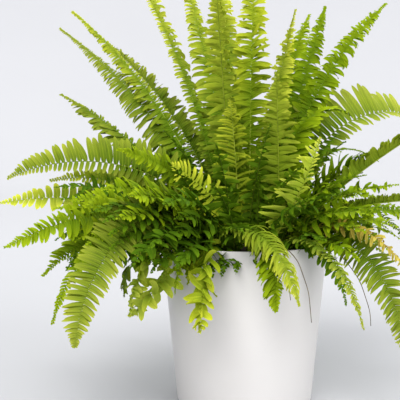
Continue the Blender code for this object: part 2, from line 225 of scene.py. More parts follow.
class NodeSheet:
    """A short way to add and join the nodes of one material or node group."""

    def __init__(self, tree: NodeTree) -> None:
        """Keeps the tree that the nodes are added to."""
        self.tree = tree

    def feed(self, node: Node, inputs: dict) -> None:
        """Joins a socket to each of these inputs, or sets its value.

        Args:
            node: The node.
            inputs: A socket or a value for each input by name or number.
        """
        for name, value in inputs.items():
            if isinstance(value, Socket):
                self.tree.links.new(value, node.inputs[name])
            else:
                node.inputs[name].default_value = value

    def add(self, kind: str, inputs: dict | None = None, **settings: object) -> Node:
        """Adds a node.

        Args:
            kind: The node's type.
            inputs: What feeds it.
            settings: The node's own values.

        Returns:
            The new node.
        """
        node = self.tree.nodes.new(kind)
        for name, value in settings.items():
            setattr(node, name, value)
        self.feed(node, inputs or {})
        return node

    def mix(self, share: object, a: object, b: object, blend: str = "MIX") -> Socket:
        """A mix of two colours, each a socket or a colour."""
        first, second = (value if isinstance(value, Socket) else (*value, 1.0) for value in (a, b))
        inputs = {0: share, 6: first, 7: second}
        return self.add("ShaderNodeMix", inputs, data_type="RGBA", blend_type=blend).outputs[2]

    def reckon(self, operation: str, a: object, b: object = 0.0, clamp: bool = False) -> Socket:
        """The result of a Math node."""
        return self.add("ShaderNodeMath", {0: a, 1: b}, operation=operation, use_clamp=clamp).outputs[0]

    def times(self, a: object, b: object, clamp: bool = False) -> Socket:
        """The product of two values."""
        return self.reckon("MULTIPLY", a, b, clamp)

    def plus(self, a: object, b: object) -> Socket:
        """The sum of two values."""
        return self.reckon("ADD", a, b)

    def less(self, a: object, b: object, clamp: bool = False) -> Socket:
        """The first value less the second."""
        return self.reckon("SUBTRACT", a, b, clamp)

    def power(self, a: object, b: float) -> Socket:
        """The first value to the power of the second."""
        return self.reckon("POWER", a, b)

    def spread(self, value: object, low: float, high: float) -> Socket:
        """A value that rises smoothly from 0 at low to 1 at high."""
        inputs = {"Value": value, "From Min": low, "From Max": high}
        return self.add("ShaderNodeMapRange", inputs, interpolation_type="SMOOTHSTEP").outputs["Result"]

    def noise(self, place: Socket, scale: Socket, detail: float, roughness: float) -> Socket:
        """Noise of this many patches to the metre."""
        inputs = {"Vector": place, "Scale": scale, "Detail": detail, "Roughness": roughness}
        return self.add("ShaderNodeTexNoise", inputs).outputs["Fac"]


def new_group(name: str, inputs: Sequence[tuple], outputs: dict) -> tuple:
    """A shader node group, built once.

    Args:
        name: The group's name.
        inputs: The name, socket type and first value of each input.
        outputs: The socket type of each output by name.

    Returns:
        The group, its sheet of nodes, the sockets that it is given and the node that takes its results.
    """
    group = bpy.data.node_groups.new(name, "ShaderNodeTree")
    for label, kind, value in inputs:
        socket = group.interface.new_socket(name=label, in_out="INPUT", socket_type=kind)
        if value is not None:
            socket.default_value = value
    for label, kind in outputs.items():
        group.interface.new_socket(name=label, in_out="OUTPUT", socket_type=kind)
    sheet = NodeSheet(group)
    return group, sheet, sheet.add("NodeGroupInput").outputs, sheet.add("NodeGroupOutput")


def mottling_group() -> NodeTree:
    """Uneven colour and a fine grain, for every finish on the plant."""
    group, sheet, given, result = new_group(
        "mottling",
        [
            ("Place", "NodeSocketVector", None),
            ("Dark", "NodeSocketColor", (0.1, 0.1, 0.1, 1.0)),
            ("Light", "NodeSocketColor", (0.5, 0.5, 0.5, 1.0)),
            ("Patches", "NodeSocketFloat", 30.0),
            ("Grains", "NodeSocketFloat", 600.0),
        ],
        {"Color": "NodeSocketColor", "Patch": "NodeSocketFloat", "Grain": "NodeSocketFloat"},
    )
    patch = sheet.spread(sheet.noise(given["Place"], given["Patches"], 4.0, 0.6), 0.3, 0.7)
    grain = sheet.noise(given["Place"], given["Grains"], 2.0, 0.5)
    colour = sheet.mix(patch, given["Dark"], given["Light"])
    sheet.feed(result, {"Color": colour, "Patch": patch, "Grain": grain})
    return group


def leaf_marks_group() -> NodeTree:
    """The midrib, side veins, margin and underside of a leaflet, from its own map."""
    labels = ("Along", "Midrib", "Veins", "Margin", "Underside", "Relief")
    group, sheet, given, result = new_group(
        "leaf_marks",
        [("Map", "NodeSocketVector", None), ("Vein count", "NodeSocketFloat", 11.0)],
        dict.fromkeys(labels, "NodeSocketFloat"),
    )
    parts = sheet.add("ShaderNodeSeparateXYZ", {0: given["Map"]}).outputs
    under = sheet.reckon("GREATER_THAN", parts["X"], UNDERSIDE - 0.5)
    along = sheet.less(parts["X"], sheet.times(under, UNDERSIDE))
    off_middle = sheet.reckon("ABSOLUTE", parts["Y"])
    midrib = sheet.less(1.0, sheet.spread(off_middle, 0.04, 0.16))
    slanted = sheet.less(along, sheet.times(off_middle, 0.16))
    turns = sheet.times(sheet.times(slanted, given["Vein count"]), math.tau)
    veins = sheet.spread(sheet.reckon("SINE", turns), 0.55, 0.98)
    margin = sheet.spread(off_middle, 0.62, 1.0)
    relief = sheet.less(sheet.times(veins, 0.35), midrib)
    sheet.feed(result, dict(zip(labels, (along, midrib, veins, margin, under, relief))))
    return group


@dataclass(frozen=True)
class Groups:
    """The node groups that the finishes share."""

    mottling: NodeTree
    leaf_marks: NodeTree

    def mottle(self, sheet: NodeSheet, colours: Sequence[Colour], patches: float, grains: float) -> Node:
        """Adds the mottling to a material, laid on Object coordinates.

        Args:
            sheet: The material's nodes.
            colours: The dark and the light colour.
            patches: How many patches there are to the metre.
            grains: How many grains there are to the metre.

        Returns:
            The mottling's node.
        """
        place = sheet.add("ShaderNodeTexCoord").outputs["Object"]
        dark, light = ((*colour, 1.0) for colour in colours)
        inputs = {"Place": place, "Dark": dark, "Light": light, "Patches": patches, "Grains": grains}
        return sheet.add("ShaderNodeGroup", inputs, node_tree=self.mottling)


@dataclass(frozen=True)
class LeafFinish:
    """A tone of living leaf, which lets some light through.

    The shares say how far the colour goes to the shade, the light or the vein colour, and where. The shade
    colour is the dark of the leaf's own mottling and veins, and also the painted shade at the leaflets'
    bases and the fronds' feet.
    """

    name: str
    # the dark of the mottling and the veins, and the colour of the painted shade
    shade: Colour
    body: Colour
    light: Colour
    vein: Colour
    glow: Colour
    foot_green_and_shade: float = 0.3  # darker and greener to the foot: its own greener lower part, and painted shade inside the crown
    lit_through: float = 0.34
    roughness: float = 0.55
    rough_patches: float = 0.14
    specular: float = 0.05
    patches: float = 26.0
    grains: float = 900.0
    base_shade: float = 0.88  # painted shade at the leaflet's base, by the rib
    tip_light: float = 0.64  # at the frond's tip
    end_light: float = 0.8  # at the leaflet's end
    margin_light: float = 0.3
    luck: tuple[float, float] = (0.45, 0.7)  # the least of the light, and what chance adds
    vein_dark: float = 0.22
    midrib_light: float = 0.55
    under_pale: float = 0.4
    grain_relief: float = 0.3
    relief: float = 0.0004

    def material(self, groups: Groups) -> Material:
        """The material of this tone.

        Args:
            groups: The shared node groups.

        Returns:
            A material that reads the leaflet's and the frond's maps.
        """
        made = bpy.data.materials.new(self.name)
        made.use_nodes = True
        made.node_tree.nodes.clear()
        sheet = NodeSheet(made.node_tree)
        leaflet = sheet.add("ShaderNodeUVMap", uv_map=LEAFLET_MAP).outputs["UV"]
        frond = sheet.add("ShaderNodeUVMap", uv_map=FROND_MAP).outputs["UV"]
        on_frond = sheet.add("ShaderNodeSeparateXYZ", {0: frond}).outputs
        marks = sheet.add("ShaderNodeGroup", {"Map": leaflet}, node_tree=groups.leaf_marks).outputs
        mottled = groups.mottle(sheet, (self.shade, self.body), self.patches, self.grains).outputs

        # Painted shade: darker towards each leaflet's base, by the rib where the leaflets overlap.
        from_base = sheet.power(sheet.less(1.0, marks["Along"], clamp=True), 1.7)
        colour = sheet.mix(sheet.times(from_base, self.base_shade), mottled["Color"], self.shade)
        tip_light = sheet.times(sheet.power(on_frond["X"], 2.2), self.tip_light)
        end_light = sheet.times(sheet.power(marks["Along"], 2.0), self.end_light)
        margin_light = sheet.times(marks["Margin"], self.margin_light)
        lighter = sheet.plus(sheet.plus(tip_light, end_light), margin_light)
        least, chance = self.luck
        luck = sheet.plus(sheet.times(on_frond["Y"], chance), least)
        colour = sheet.mix(sheet.times(lighter, luck, clamp=True), colour, self.light)
        colour = sheet.mix(sheet.times(marks["Veins"], self.vein_dark), colour, self.shade)
        colour = sheet.mix(sheet.times(marks["Midrib"], self.midrib_light), colour, self.vein)
        colour = sheet.mix(marks["Underside"], colour, sheet.mix(self.under_pale, colour, self.vein))
        # Darker and greener towards the frond's foot: partly the frond's own greener lower part, partly
        # painted shade inside the crown.
        from_tip = sheet.power(sheet.less(1.0, on_frond["X"], clamp=True), 2.0)
        colour = sheet.mix(sheet.times(from_tip, self.foot_green_and_shade, clamp=True), colour, self.shade)

        height = sheet.plus(marks["Relief"], sheet.times(mottled["Grain"], self.grain_relief))
        bump = {"Height": height, "Strength": 0.45, "Distance": self.relief}
        normal = sheet.add("ShaderNodeBump", bump).outputs["Normal"]
        rough = sheet.plus(sheet.times(mottled["Patch"], self.rough_patches), self.roughness)
        look = {"Base Color": colour, "Roughness": rough, "Normal": normal}
        look["Specular IOR Level"] = self.specular
        surface = sheet.add("ShaderNodeBsdfPrincipled", look)
        through = sheet.mix(1.0, colour, self.glow, blend="MULTIPLY")
        back = sheet.add("ShaderNodeBsdfTranslucent", {"Color": through, "Normal": normal})
        both = {0: self.lit_through, 1: surface.outputs[0], 2: back.outputs[0]}
        sheet.add("ShaderNodeOutputMaterial", {"Surface": sheet.add("ShaderNodeMixShader", both).outputs[0]})
        return made


@dataclass(frozen=True)
class PlainFinish:
    """A solid finish with mottled colour, uneven roughness and a fine grain."""

    name: str
    dark: Colour
    light: Colour
    patches: float
    grains: float
    roughness: tuple[float, float]
    relief: float
    specular: float = 0.5

    def material(self, groups: Groups) -> Material:
        """The material of this finish.

        Args:
            groups: The shared node groups.

        Returns:
            A material that reads Object coordinates.
        """
        made = bpy.data.materials.new(self.name)
        made.use_nodes = True
        sheet = NodeSheet(made.node_tree)
        mottled = groups.mottle(sheet, (self.dark, self.light), self.patches, self.grains).outputs
        low, high = self.roughness
        rough = sheet.plus(sheet.times(mottled["Patch"], high - low), low)
        bump = {"Height": mottled["Grain"], "Strength": 0.5, "Distance": self.relief}
        normal = sheet.add("ShaderNodeBump", bump).outputs["Normal"]
        look = {"Base Color": mottled["Color"], "Roughness": rough, "Normal": normal}
        look["Specular IOR Level"] = self.specular
        sheet.feed(made.node_tree.nodes["Principled BSDF"], look)
        return made


LEAF_FINISHES = {
    # Painted shade: the leaf's colours darkened for fronds inside the crown and under it.
    Tone.DEEP_SHADE: LeafFinish(
        "leaf_deep_shade", shade=(0.031, 0.102, 0.004), body=(0.074, 0.188, 0.006), light=(0.170, 0.290, 0.006),
        vein=(0.150, 0.250, 0.008), glow=(1.2, 1.5, 0.3),
    ),
    Tone.GROWN: LeafFinish(
        "leaf_grown", shade=(0.052, 0.140, 0.002), body=(0.160, 0.295, 0.003), light=(0.430, 0.540, 0.010),
        vein=(0.270, 0.390, 0.012), glow=(1.3, 1.5, 0.3), foot_green_and_shade=0.35,
    ),
    Tone.OLIVE: LeafFinish(
        "leaf_olive", shade=(0.056, 0.150, 0.003), body=(0.202, 0.302, 0.004), light=(0.490, 0.520, 0.066),
        vein=(0.400, 0.490, 0.025), glow=(1.3, 1.4, 0.3), foot_green_and_shade=0.75,
    ),
    Tone.BRIGHT: LeafFinish(
        "leaf_bright", shade=(0.066, 0.185, 0.003), body=(0.395, 0.490, 0.009), light=(0.760, 0.770, 0.080),
        vein=(0.550, 0.605, 0.045), glow=(1.3, 1.35, 0.3), foot_green_and_shade=1.4,
    ),
    Tone.YOUNG: LeafFinish(
        "leaf_young", shade=(0.130, 0.260, 0.003), body=(0.500, 0.570, 0.010), light=(0.770, 0.770, 0.060),
        vein=(0.620, 0.670, 0.050), glow=(1.2, 1.3, 0.3), foot_green_and_shade=1.1,
    ),
    Tone.PALE: LeafFinish(
        "leaf_pale", shade=(0.310, 0.470, 0.022), body=(0.710, 0.810, 0.080), light=(0.900, 0.900, 0.190),
        vein=(0.660, 0.700, 0.080), glow=(1.2, 1.25, 0.4), foot_green_and_shade=0.35, lit_through=0.5,
    ),
    Tone.OLD: LeafFinish(
        "leaf_old", shade=(0.380, 0.280, 0.025), body=(0.620, 0.510, 0.060), light=(0.780, 0.700, 0.150),
        vein=(0.480, 0.360, 0.060), glow=(1.1, 1.1, 0.6),
    ),
}

GREEN_RIB = PlainFinish(
    "rib_green", (0.15, 0.21, 0.012), (0.31, 0.37, 0.03), 60.0, 1500.0, (0.5, 0.65), 0.0002, 0.1
)
YELLOW_RIB = replace(GREEN_RIB, name="rib_yellow", dark=(0.28, 0.36, 0.02), light=(0.46, 0.54, 0.06))
RIB_FINISHES = {
    Tone.GROWN: GREEN_RIB,
    # Painted shade: darker ribs for the fronds inside the crown.
    Tone.DEEP_SHADE: replace(GREEN_RIB, name="rib_deep_shade", dark=(0.05, 0.09, 0.004), light=(0.11, 0.17, 0.01)),
    Tone.YOUNG: YELLOW_RIB,
    Tone.PALE: YELLOW_RIB,
    Tone.OLD: replace(GREEN_RIB, name="rib_brown", dark=(0.20, 0.12, 0.02), light=(0.42, 0.30, 0.06)),
}
STALK_FINISH = replace(GREEN_RIB, name="stalk_olive", dark=(0.045, 0.055, 0.010), light=(0.13, 0.17, 0.02))
RUNNER_FINISH = PlainFinish(
    "runner_brown", (0.075, 0.055, 0.030), (0.18, 0.14, 0.075), 120.0, 1800.0, (0.55, 0.7), 0.0003
)
POT_FINISH = PlainFinish(
    "pot_white", (0.655, 0.637, 0.630), (0.680, 0.664, 0.659), 7.0, 900.0, (0.34, 0.46), 0.00006
)
SOIL_FINISH = PlainFinish(
    "soil_dark", (0.018, 0.012, 0.008), (0.065, 0.043, 0.026), 130.0, 900.0, (0.85, 0.98), 0.0012, 0.25
)
CRUMB_FINISH = PlainFinish(
    "crumb_brown", (0.05, 0.032, 0.018), (0.17, 0.11, 0.06), 90.0, 1200.0, (0.8, 0.95), 0.0006, 0.25
)
FLOOR_FINISH = PlainFinish(
    "studio_pale", (0.436, 0.442, 0.468), (0.448, 0.454, 0.480), 0.7, 60.0, (0.85, 0.95), 0.0001, 0.2
)


# Reading the frame


def smooth_line(points: Array, per_span: int) -> Array:
    """A smooth line through points that may be unevenly spaced.

    Args:
        points: The points to pass through, one to a row.
        per_span: How many steps are taken between two of them.

    Returns:
        The finer points, the given ones among them.
    """
    gaps = np.linalg.norm(np.diff(points, axis=0), axis=1)
    at = np.concatenate([[0.0], np.cumsum(gaps)])
    slopes = np.gradient(points, at, axis=0)
    rows = []
    for i, gap in enumerate(gaps):
        t = (np.arange(per_span) / per_span)[:, None]
        rows.append(
            (2 * t**3 - 3 * t**2 + 1) * points[i]
            + (t**3 - 2 * t**2 + t) * gap * slopes[i]
            + (3 * t**2 - 2 * t**3) * points[i + 1]
            + (t**3 - t**2) * gap * slopes[i + 1]
        )
    rows.append(points[-1:])
    return np.concatenate(rows)


def unit(vectors: Array) -> Array:
    """The vectors at length 1."""
    return vectors / np.maximum(np.linalg.norm(vectors, axis=-1, keepdims=True), 1e-12)


def between(pair: Sequence[float], share: float) -> float:
    """The value at a share of the way from the first of a pair to the second."""
    return pair[0] + (pair[1] - pair[0]) * share


class Line:
    """A line in space that is walked by distance from its foot."""

    NEAR = 0.002  # how far on both sides its direction is read

    def __init__(self, points: Array) -> None:
        """Keeps the points, and how far along the line each stands."""
        self.points = points
        steps = np.linalg.norm(np.diff(points, axis=0), axis=1)
        self.at = np.concatenate([[0.0], np.cumsum(steps)])
        self.length = float(self.at[-1])

    def place(self, at: Array) -> Array:
        """Points on the line at these distances from its foot."""
        return np.stack([np.interp(at, self.at, self.points[:, k]) for k in range(3)], axis=-1)

    def heading(self, at: Array) -> Array:
        """The line's direction at these distances from its foot."""
        return unit(self.place(at + self.NEAR) - self.place(at - self.NEAR))


class StemLine(Line):
    """The middle line of a thin stem of the frame, from its foot in the soil to its end."""

    STEPS = 6
    TIP_EDGE = 0.0008  # the edges at a leaflet's tip are shorter than this
    UNDER_SOIL = 0.012  # a stem's first section lies this far under the soil's top
    IN_POT = 0.8  # and within this share of the pot's radius

    def __init__(self, node: str) -> None:
        """Reads the line from a node's mesh, whose sections are three vertices each."""
        self.welded = bmesh.new()
        self.welded.from_mesh(frame["nodes"][node].data)
        bmesh.ops.remove_doubles(self.welded, verts=self.welded.verts[:], dist=WELD)
        self.tips = self._tips()
        self.rows = self._rows()
        middles = np.array([np.mean([v.co for v in row], axis=0) for row in self.rows])
        super().__init__(smooth_line(middles, self.STEPS))

    def _tips(self) -> set:
        """The vertices of leaflet tips, which are the ends of the shortest edges."""
        return {v for e in self.welded.edges if e.calc_length() < self.TIP_EDGE for v in e.verts}

    def _rows(self) -> list[list]:
        """The sections in order, found from neighbour to neighbour."""
        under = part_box("soil")[1].z - self.UNDER_SOIL
        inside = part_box("pot")[1].x * self.IN_POT
        row = [
            v
            for v in self.welded.verts
            if v not in self.tips and v.co.z < under and math.hypot(v.co.x, v.co.y) < inside
        ]
        seen, rows = set(), []
        while row:
            rows.append(row)
            seen.update(row)
            near = {e.other_vert(v) for v in row for e in v.link_edges}
            row = sorted(near - seen - self.tips, key=lambda v: v.index)
        return rows


class RibLine(StemLine):
    """A frond's rib, with the way its blade faces and the reach of its leaflets."""

    FIRST_LEAFY_ROW = 3
    TIP_SIZE = 0.0012  # the vertices of one leaflet's tip are nearer to each other than this
    LEANING = 0.3  # a leaflet's tip stands this share of a section nearer to the frond's tip

    def __init__(self, node: str) -> None:
        """Reads the rib's line, and the blade from the leaflets' tips."""
        super().__init__(node)
        places, sides, reaches, lift = [], [], [], 0.0
        for i in range(self.FIRST_LEAFY_ROW, len(self.rows) - 1):
            near = self._reached(self.rows[i]) & self._reached(self.rows[i + 1])
            if len(near) < 4:
                continue
            tips = np.array([v.co for v in near])
            apart = np.linalg.norm(tips - tips[0], axis=1) >= self.TIP_SIZE
            one, other = tips[~apart].mean(axis=0), tips[apart].mean(axis=0)
            low, high = self.at[i * self.STEPS], self.at[(i + 1) * self.STEPS]
            middle = np.array([(low + high) / 2])
            along = self.heading(middle)[0]
            across = (one - other) - along * np.dot(one - other, along)
            side = across / np.linalg.norm(across)
            if sides and np.dot(side, sides[-1]) < 0:
                side = -side
            raised = (one + other) / 2 - self.place(middle + (high - low) * self.LEANING)[0]
            lift += float(np.dot(np.cross(along, side), raised))
            places.append(middle[0])
            sides.append(side)
            reaches.append(np.linalg.norm(across) / 2)
        self.welded.free()
        self.leafy_from = float(self.at[self.FIRST_LEAFY_ROW * self.STEPS])
        self.blade_at = np.array(places)
        self.sides = np.array(sides) * (1.0 if lift > 0 else -1.0)
        self.reaches = np.array(reaches)

    def _reached(self, row: list) -> set:
        """The leaflet tips that a row's vertices are joined to."""
        return {e.other_vert(v) for v in row for e in v.link_edges} & self.tips

    def axes(self, at: Array) -> tuple[Array, Array, Array]:
        """The rib's direction, its left side and the blade's face at these distances."""
        along = self.heading(at)
        side = np.stack([np.interp(at, self.blade_at, self.sides[:, k]) for k in range(3)], axis=-1)
        side = unit(side - along * np.sum(side * along, axis=-1, keepdims=True))
        return along, side, np.cross(along, side)

    def reach(self, at: Array) -> Array:
        """How far the leaflets reach from the rib at these distances."""
        return np.interp(at, self.blade_at, self.reaches)


class FreeRib(Line):
    """A rib that no node of the frame gives, with leaflets that lie across it."""

    SWELL: tuple[float, float]  # the leaflets' reach at its foot, and how fast it grows
    CLOSING: tuple[float, float, float]  # how the reach falls off to its tip

    def __init__(self, points: Array, across: Sequence[float], reach: float) -> None:
        """Keeps the line, the way across it and the length of its longest leaflets."""
        super().__init__(points)
        self.across = np.array(across)
        self.longest = reach

    def axes(self, at: Array) -> tuple[Array, Array, Array]:
        """The rib's direction, its left side and the blade's face at these distances."""
        along = self.heading(at)
        side = unit(self.across - along * (along @ self.across)[:, None])
        return along, side, np.cross(along, side)

    def reach(self, at: Array) -> Array:
        """How far the leaflets reach from the rib at these distances."""
        share = np.clip((at - self.leafy_from) / (self.length - self.leafy_from), 0, 1)
        start, rising = self.SWELL
        full, bend, root = self.CLOSING
        return self.longest * np.minimum(1, start + rising * share) * (full - share**bend) ** root


class DrawnRib(FreeRib):
    """The rib of a small frond that stands among the others, rising and arching outwards."""

    SWELL = (0.4, 2.4)
    CLOSING = (1.0, 2.2, 0.75)
    STEPS = 40
    UPRIGHT = 88  # how steeply it leaves the soil, in degrees
    TURNING = 0.02  # the length over which it leans out
    BARE = 0.16

    def __init__(
        self, foot: Sequence[float], azimuth: float, rise: float, droop: float, length: float, reach: float
    ) -> None:
        """Draws the rib.

        Args:
            foot: Where it starts, in the soil.
            azimuth: The way it leans, in degrees from +X.
            rise: How steeply it rises, in degrees.
            droop: By how many degrees it turns down to its tip.
            length: Its length.
            reach: The length of its longest leaflets.
        """
        share = np.linspace(0, 1, self.STEPS)
        leaning = np.exp(-share * length / self.TURNING)
        climb = np.radians(rise + (self.UPRIGHT - rise) * leaning - droop * share)
        turn = math.radians(azimuth)
        cos, sin = math.cos(turn), math.sin(turn)
        ways = np.stack([np.cos(climb) * cos, np.cos(climb) * sin, np.sin(climb)], axis=1)
        steps = np.cumsum(ways[:-1] * length / (self.STEPS - 1), axis=0)
        super().__init__(np.array(foot) + np.concatenate([np.zeros((1, 3)), steps]), (-sin, cos, 0.0), reach)
        self.leafy_from = self.BARE * length


class PlacedRib(FreeRib):
    """The rib of a curled young frond that rises from the soil and hangs over the rim."""

    SWELL = (0.5, 2.0)
    CLOSING = (1.02, 3, 0.5)

    def __init__(self, places: Sequence[tuple[float, float, float]], reach: float, bare: float) -> None:
        """Draws the rib through its places.

        Args:
            places: The places, from the soil to the tip.
            reach: The length of its longest leaflets.
            bare: The share of it that has no leaflets.
        """
        super().__init__(smooth_line(np.array(places), 8), (1.0, 0.0, 0.0), reach)
        self.leafy_from = bare * self.length


# Leaflets


@dataclass
class LeafletPattern:
    """One thin closed leaflet, a unit long and a unit wide each way from its midrib.

    Its upper edge is the one towards the frond's tip. Stations give, at shares of its length, the
    reach of the upper and the lower edge.
    """

    name: str
    stations: Sequence[tuple[float, float, float]]
    lines_across: int = 2
    aside: float = 10.0  # how far a shaped column is moved, out of the way of the next

    def model(self) -> "LeafletShape":
        """Models the leaflet from a flat grid, and reads its shape.

        Returns:
            The shape, ready to be placed many times.
        """
        columns = len(self.stations) - 1
        add = bpy.ops.mesh.primitive_grid_add
        lines = self.lines_across
        leaf = new_primitive(add, self.name, x_subdivisions=columns, y_subdivisions=lines, size=2.0)
        with editing(leaf):
            for k, (along, upper, lower) in reversed(list(enumerate(self.stations))):
                grid_x = -1 + 2 * k / columns
                select_where(leaf, lambda co: abs(co.x - grid_x) < 0.01)
                bpy.ops.transform.resize(value=(1, (upper + lower) / 2, 1), center_override=(grid_x, 0, 0))
                bpy.ops.transform.translate(value=(self.aside + along - grid_x, (upper - lower) / 2, 0))
            bpy.ops.mesh.select_all(action="SELECT")
            bpy.ops.transform.translate(value=(-self.aside, 0, 0))
            bpy.ops.mesh.duplicate()
            bpy.ops.mesh.flip_normals()
            bpy.ops.transform.translate(value=(0, 0, -1))
        edge = self._edge_vertices(leaf)
        with editing(leaf):
            select_where(leaf, lambda co: (round(co.x, 4), round(co.y, 4)) in edge and co.z < -0.5)
            bpy.ops.transform.translate(value=(0, 0, 1))
            bpy.ops.mesh.select_all(action="SELECT")
            bpy.ops.mesh.remove_doubles(threshold=0.0001)
        shape = LeafletShape.read(leaf)
        bpy.data.objects.remove(leaf)
        return shape

    def _edge_vertices(self, leaf: Object) -> set:
        """The places in plan of the vertices on the leaflet's edge."""
        read = bmesh.new()
        read.from_mesh(leaf.data)
        found = {(round(v.co.x, 4), round(v.co.y, 4)) for e in read.edges if e.is_boundary for v in e.verts}
        read.free()
        return found


@dataclass
class LeafletShape:
    """A leaflet's mesh as arrays: its vertices, its faces and the map of each face corner."""

    vertices: Array
    faces: Array
    corners: Array

    @classmethod
    def read(cls, leaf: Object) -> "LeafletShape":
        """Reads the arrays from a leaflet whose faces all have four corners.

        Args:
            leaf: The modelled leaflet.

        Returns:
            The shape.
        """
        vertices = np.array([v.co for v in leaf.data.vertices])
        faces = np.array([list(p.vertices) for p in leaf.data.polygons])
        below = vertices[faces][:, :, 2].mean(axis=1) < -0.05
        flat = vertices[faces][:, :, :2].copy()
        flat[below, :, 0] += UNDERSIDE
        return cls(vertices, faces, flat)


PATTERNS = {
    Cut.SICKLE: LeafletPattern(
        "sickle_leaflet",
        (
            (0.00, 0.84, 0.50), (0.06, 1.10, 0.74), (0.16, 0.98, 0.88),
            (0.34, 0.94, 0.96), (0.54, 0.92, 0.94), (0.72, 0.82, 0.84),
            (0.86, 0.62, 0.64), (0.95, 0.36, 0.36), (1.00, 0.05, 0.03),
        ),
    ),
    Cut.BLUNT: LeafletPattern(
        "blunt_leaflet",
        (
            (0.00, 0.56, 0.40), (0.07, 0.90, 0.66), (0.20, 1.00, 0.92),
            (0.42, 1.00, 1.00), (0.62, 0.96, 1.00), (0.78, 0.84, 0.90),
            (0.90, 0.60, 0.66), (0.97, 0.32, 0.34), (1.00, 0.08, 0.06),
        ),
    ),
    Cut.SMALL: LeafletPattern(
        "small_leaflet",
        ((0.00, 0.80, 0.50), (0.12, 1.06, 0.80), (0.45, 0.88, 0.90), (0.80, 0.60, 0.62), (1.00, 0.08, 0.06)),
    ),
}


@dataclass(frozen=True)
class Growth:
    """How the leaflets of a frond are held. Angles are in degrees, lengths in metres.

    Each leaflet leaves the rib leaning to the frond's tip, curves further that way by its sickle,
    and turns down by its curl and sag. The gap is the leaflets' spacing against their width, and
    the turn tips the whole blade about the rib. Uneven is how much longer its left side is than its
    right one, and a taper under one keeps its ends full.
    """

    tone: Tone = Tone.GROWN
    cut: Cut = Cut.SICKLE
    lean: float = 8.0
    lean_at_tip: float = 34.0
    sickle: float = 16.0
    fold: float = 14.0
    curl: float = 34.0
    sag: float = 0.12
    twist: float = 10.0
    loose: float = 9.0
    width: float = 1.0
    gap: float = 1.0
    crease: float = 12.0
    longer: float = 1.12
    missing: float = 0.02
    turn: float = 0.0
    uneven: float = 0.0
    taper: float = 1.0
    starts: float = 0.34  # where the lowest leaflet stands, against the frame's lowest


class Collected:
    """The vertices, faces and maps of a mesh that is put together from many copies."""

    def __init__(self) -> None:
        """Starts with nothing."""
        self.vertices: list[Array] = []
        self.faces: list[Array] = []
        self.leaflet_map: list[Array] = []
        self.frond_map: list[Array] = []
        self.slots: list[Array] = []
        self.count = 0

    def add(self, vertices: Array, faces: Array, leaflet_map: Array, frond_map: Array, slot: int) -> None:
        """Adds a shell whose faces all have four corners.

        Args:
            vertices: One place to a row.
            faces: Four vertex numbers to a row.
            leaflet_map: For each face, its corners on the leaflet's map.
            frond_map: For each face, its corners on the frond's map.
            slot: The number of its material slot.
        """
        self.vertices.append(vertices)
        self.faces.append(faces + self.count)
        self.leaflet_map.append(leaflet_map.reshape(-1, 2))
        self.frond_map.append(frond_map.reshape(-1, 2))
        self.slots.append(np.full(len(faces), slot))
        self.count += len(vertices)

    def object(self, name: str, materials: Sequence[Material]) -> Object:
        """The object with this mesh, with both maps and sharp leaf margins."""
        vertices = np.concatenate(self.vertices)
        faces = np.concatenate(self.faces)
        mesh = bpy.data.meshes.new(name)
        mesh.vertices.add(len(vertices))
        mesh.vertices.foreach_set("co", vertices.astype(np.float32).ravel())
        mesh.loops.add(faces.size)
        mesh.loops.foreach_set("vertex_index", faces.astype(np.int32).ravel())
        mesh.polygons.add(len(faces))
        mesh.polygons.foreach_set("loop_start", np.arange(0, faces.size, 4, dtype=np.int32))
        mesh.polygons.foreach_set("material_index", np.concatenate(self.slots).astype(np.int32))
        mesh.update(calc_edges=True)
        for label, parts in ((LEAFLET_MAP, self.leaflet_map), (FROND_MAP, self.frond_map)):
            layer = mesh.uv_layers.new(name=label)
            layer.uv.foreach_set("vector", np.concatenate(parts).astype(np.float32).ravel())
        for material in materials:
            mesh.materials.append(material)
        made = mesh_object(name, mesh)
        shade_smooth(made, 75.0)
        return made


def tube(points: Array, radii: Array, sides: int) -> tuple[Array, Array]:
    """A closed round tube along a line.

    Args:
        points: The middle line.
        radii: The tube's radius at each point.
        sides: How many flat sides the tube has, an even number.

    Returns:
        Its vertices, and its faces with four corners each.
    """
    along = unit(np.gradient(points, axis=0))
    across = np.cross(along[0], (0.0, 1.0, 0.0) if abs(along[0][1]) < 0.9 else (1.0, 0.0, 0.0))
    turns = np.arange(sides) * math.tau / sides
    rings = []
    for point, heading, radius in zip(points, along, radii):
        across = across - heading * np.dot(across, heading)
        across = across / np.linalg.norm(across)
        other = np.cross(heading, across)
        rings.append(point + radius * (np.outer(np.cos(turns), across) + np.outer(np.sin(turns), other)))
    vertices = np.concatenate(rings)
    k = np.arange(sides)
    walls = np.stack([k, (k + 1) % sides, (k + 1) % sides + sides, k + sides], axis=1)
    faces = np.concatenate([walls + ring * sides for ring in range(len(points) - 1)])
    caps = np.array([(k, sides - 1 - k, sides - 2 - k, k + 1) for k in range(sides // 2 - 1)])
    last = caps[:, ::-1] + (len(points) - 1) * sides
    return vertices, np.concatenate([faces, caps, last])


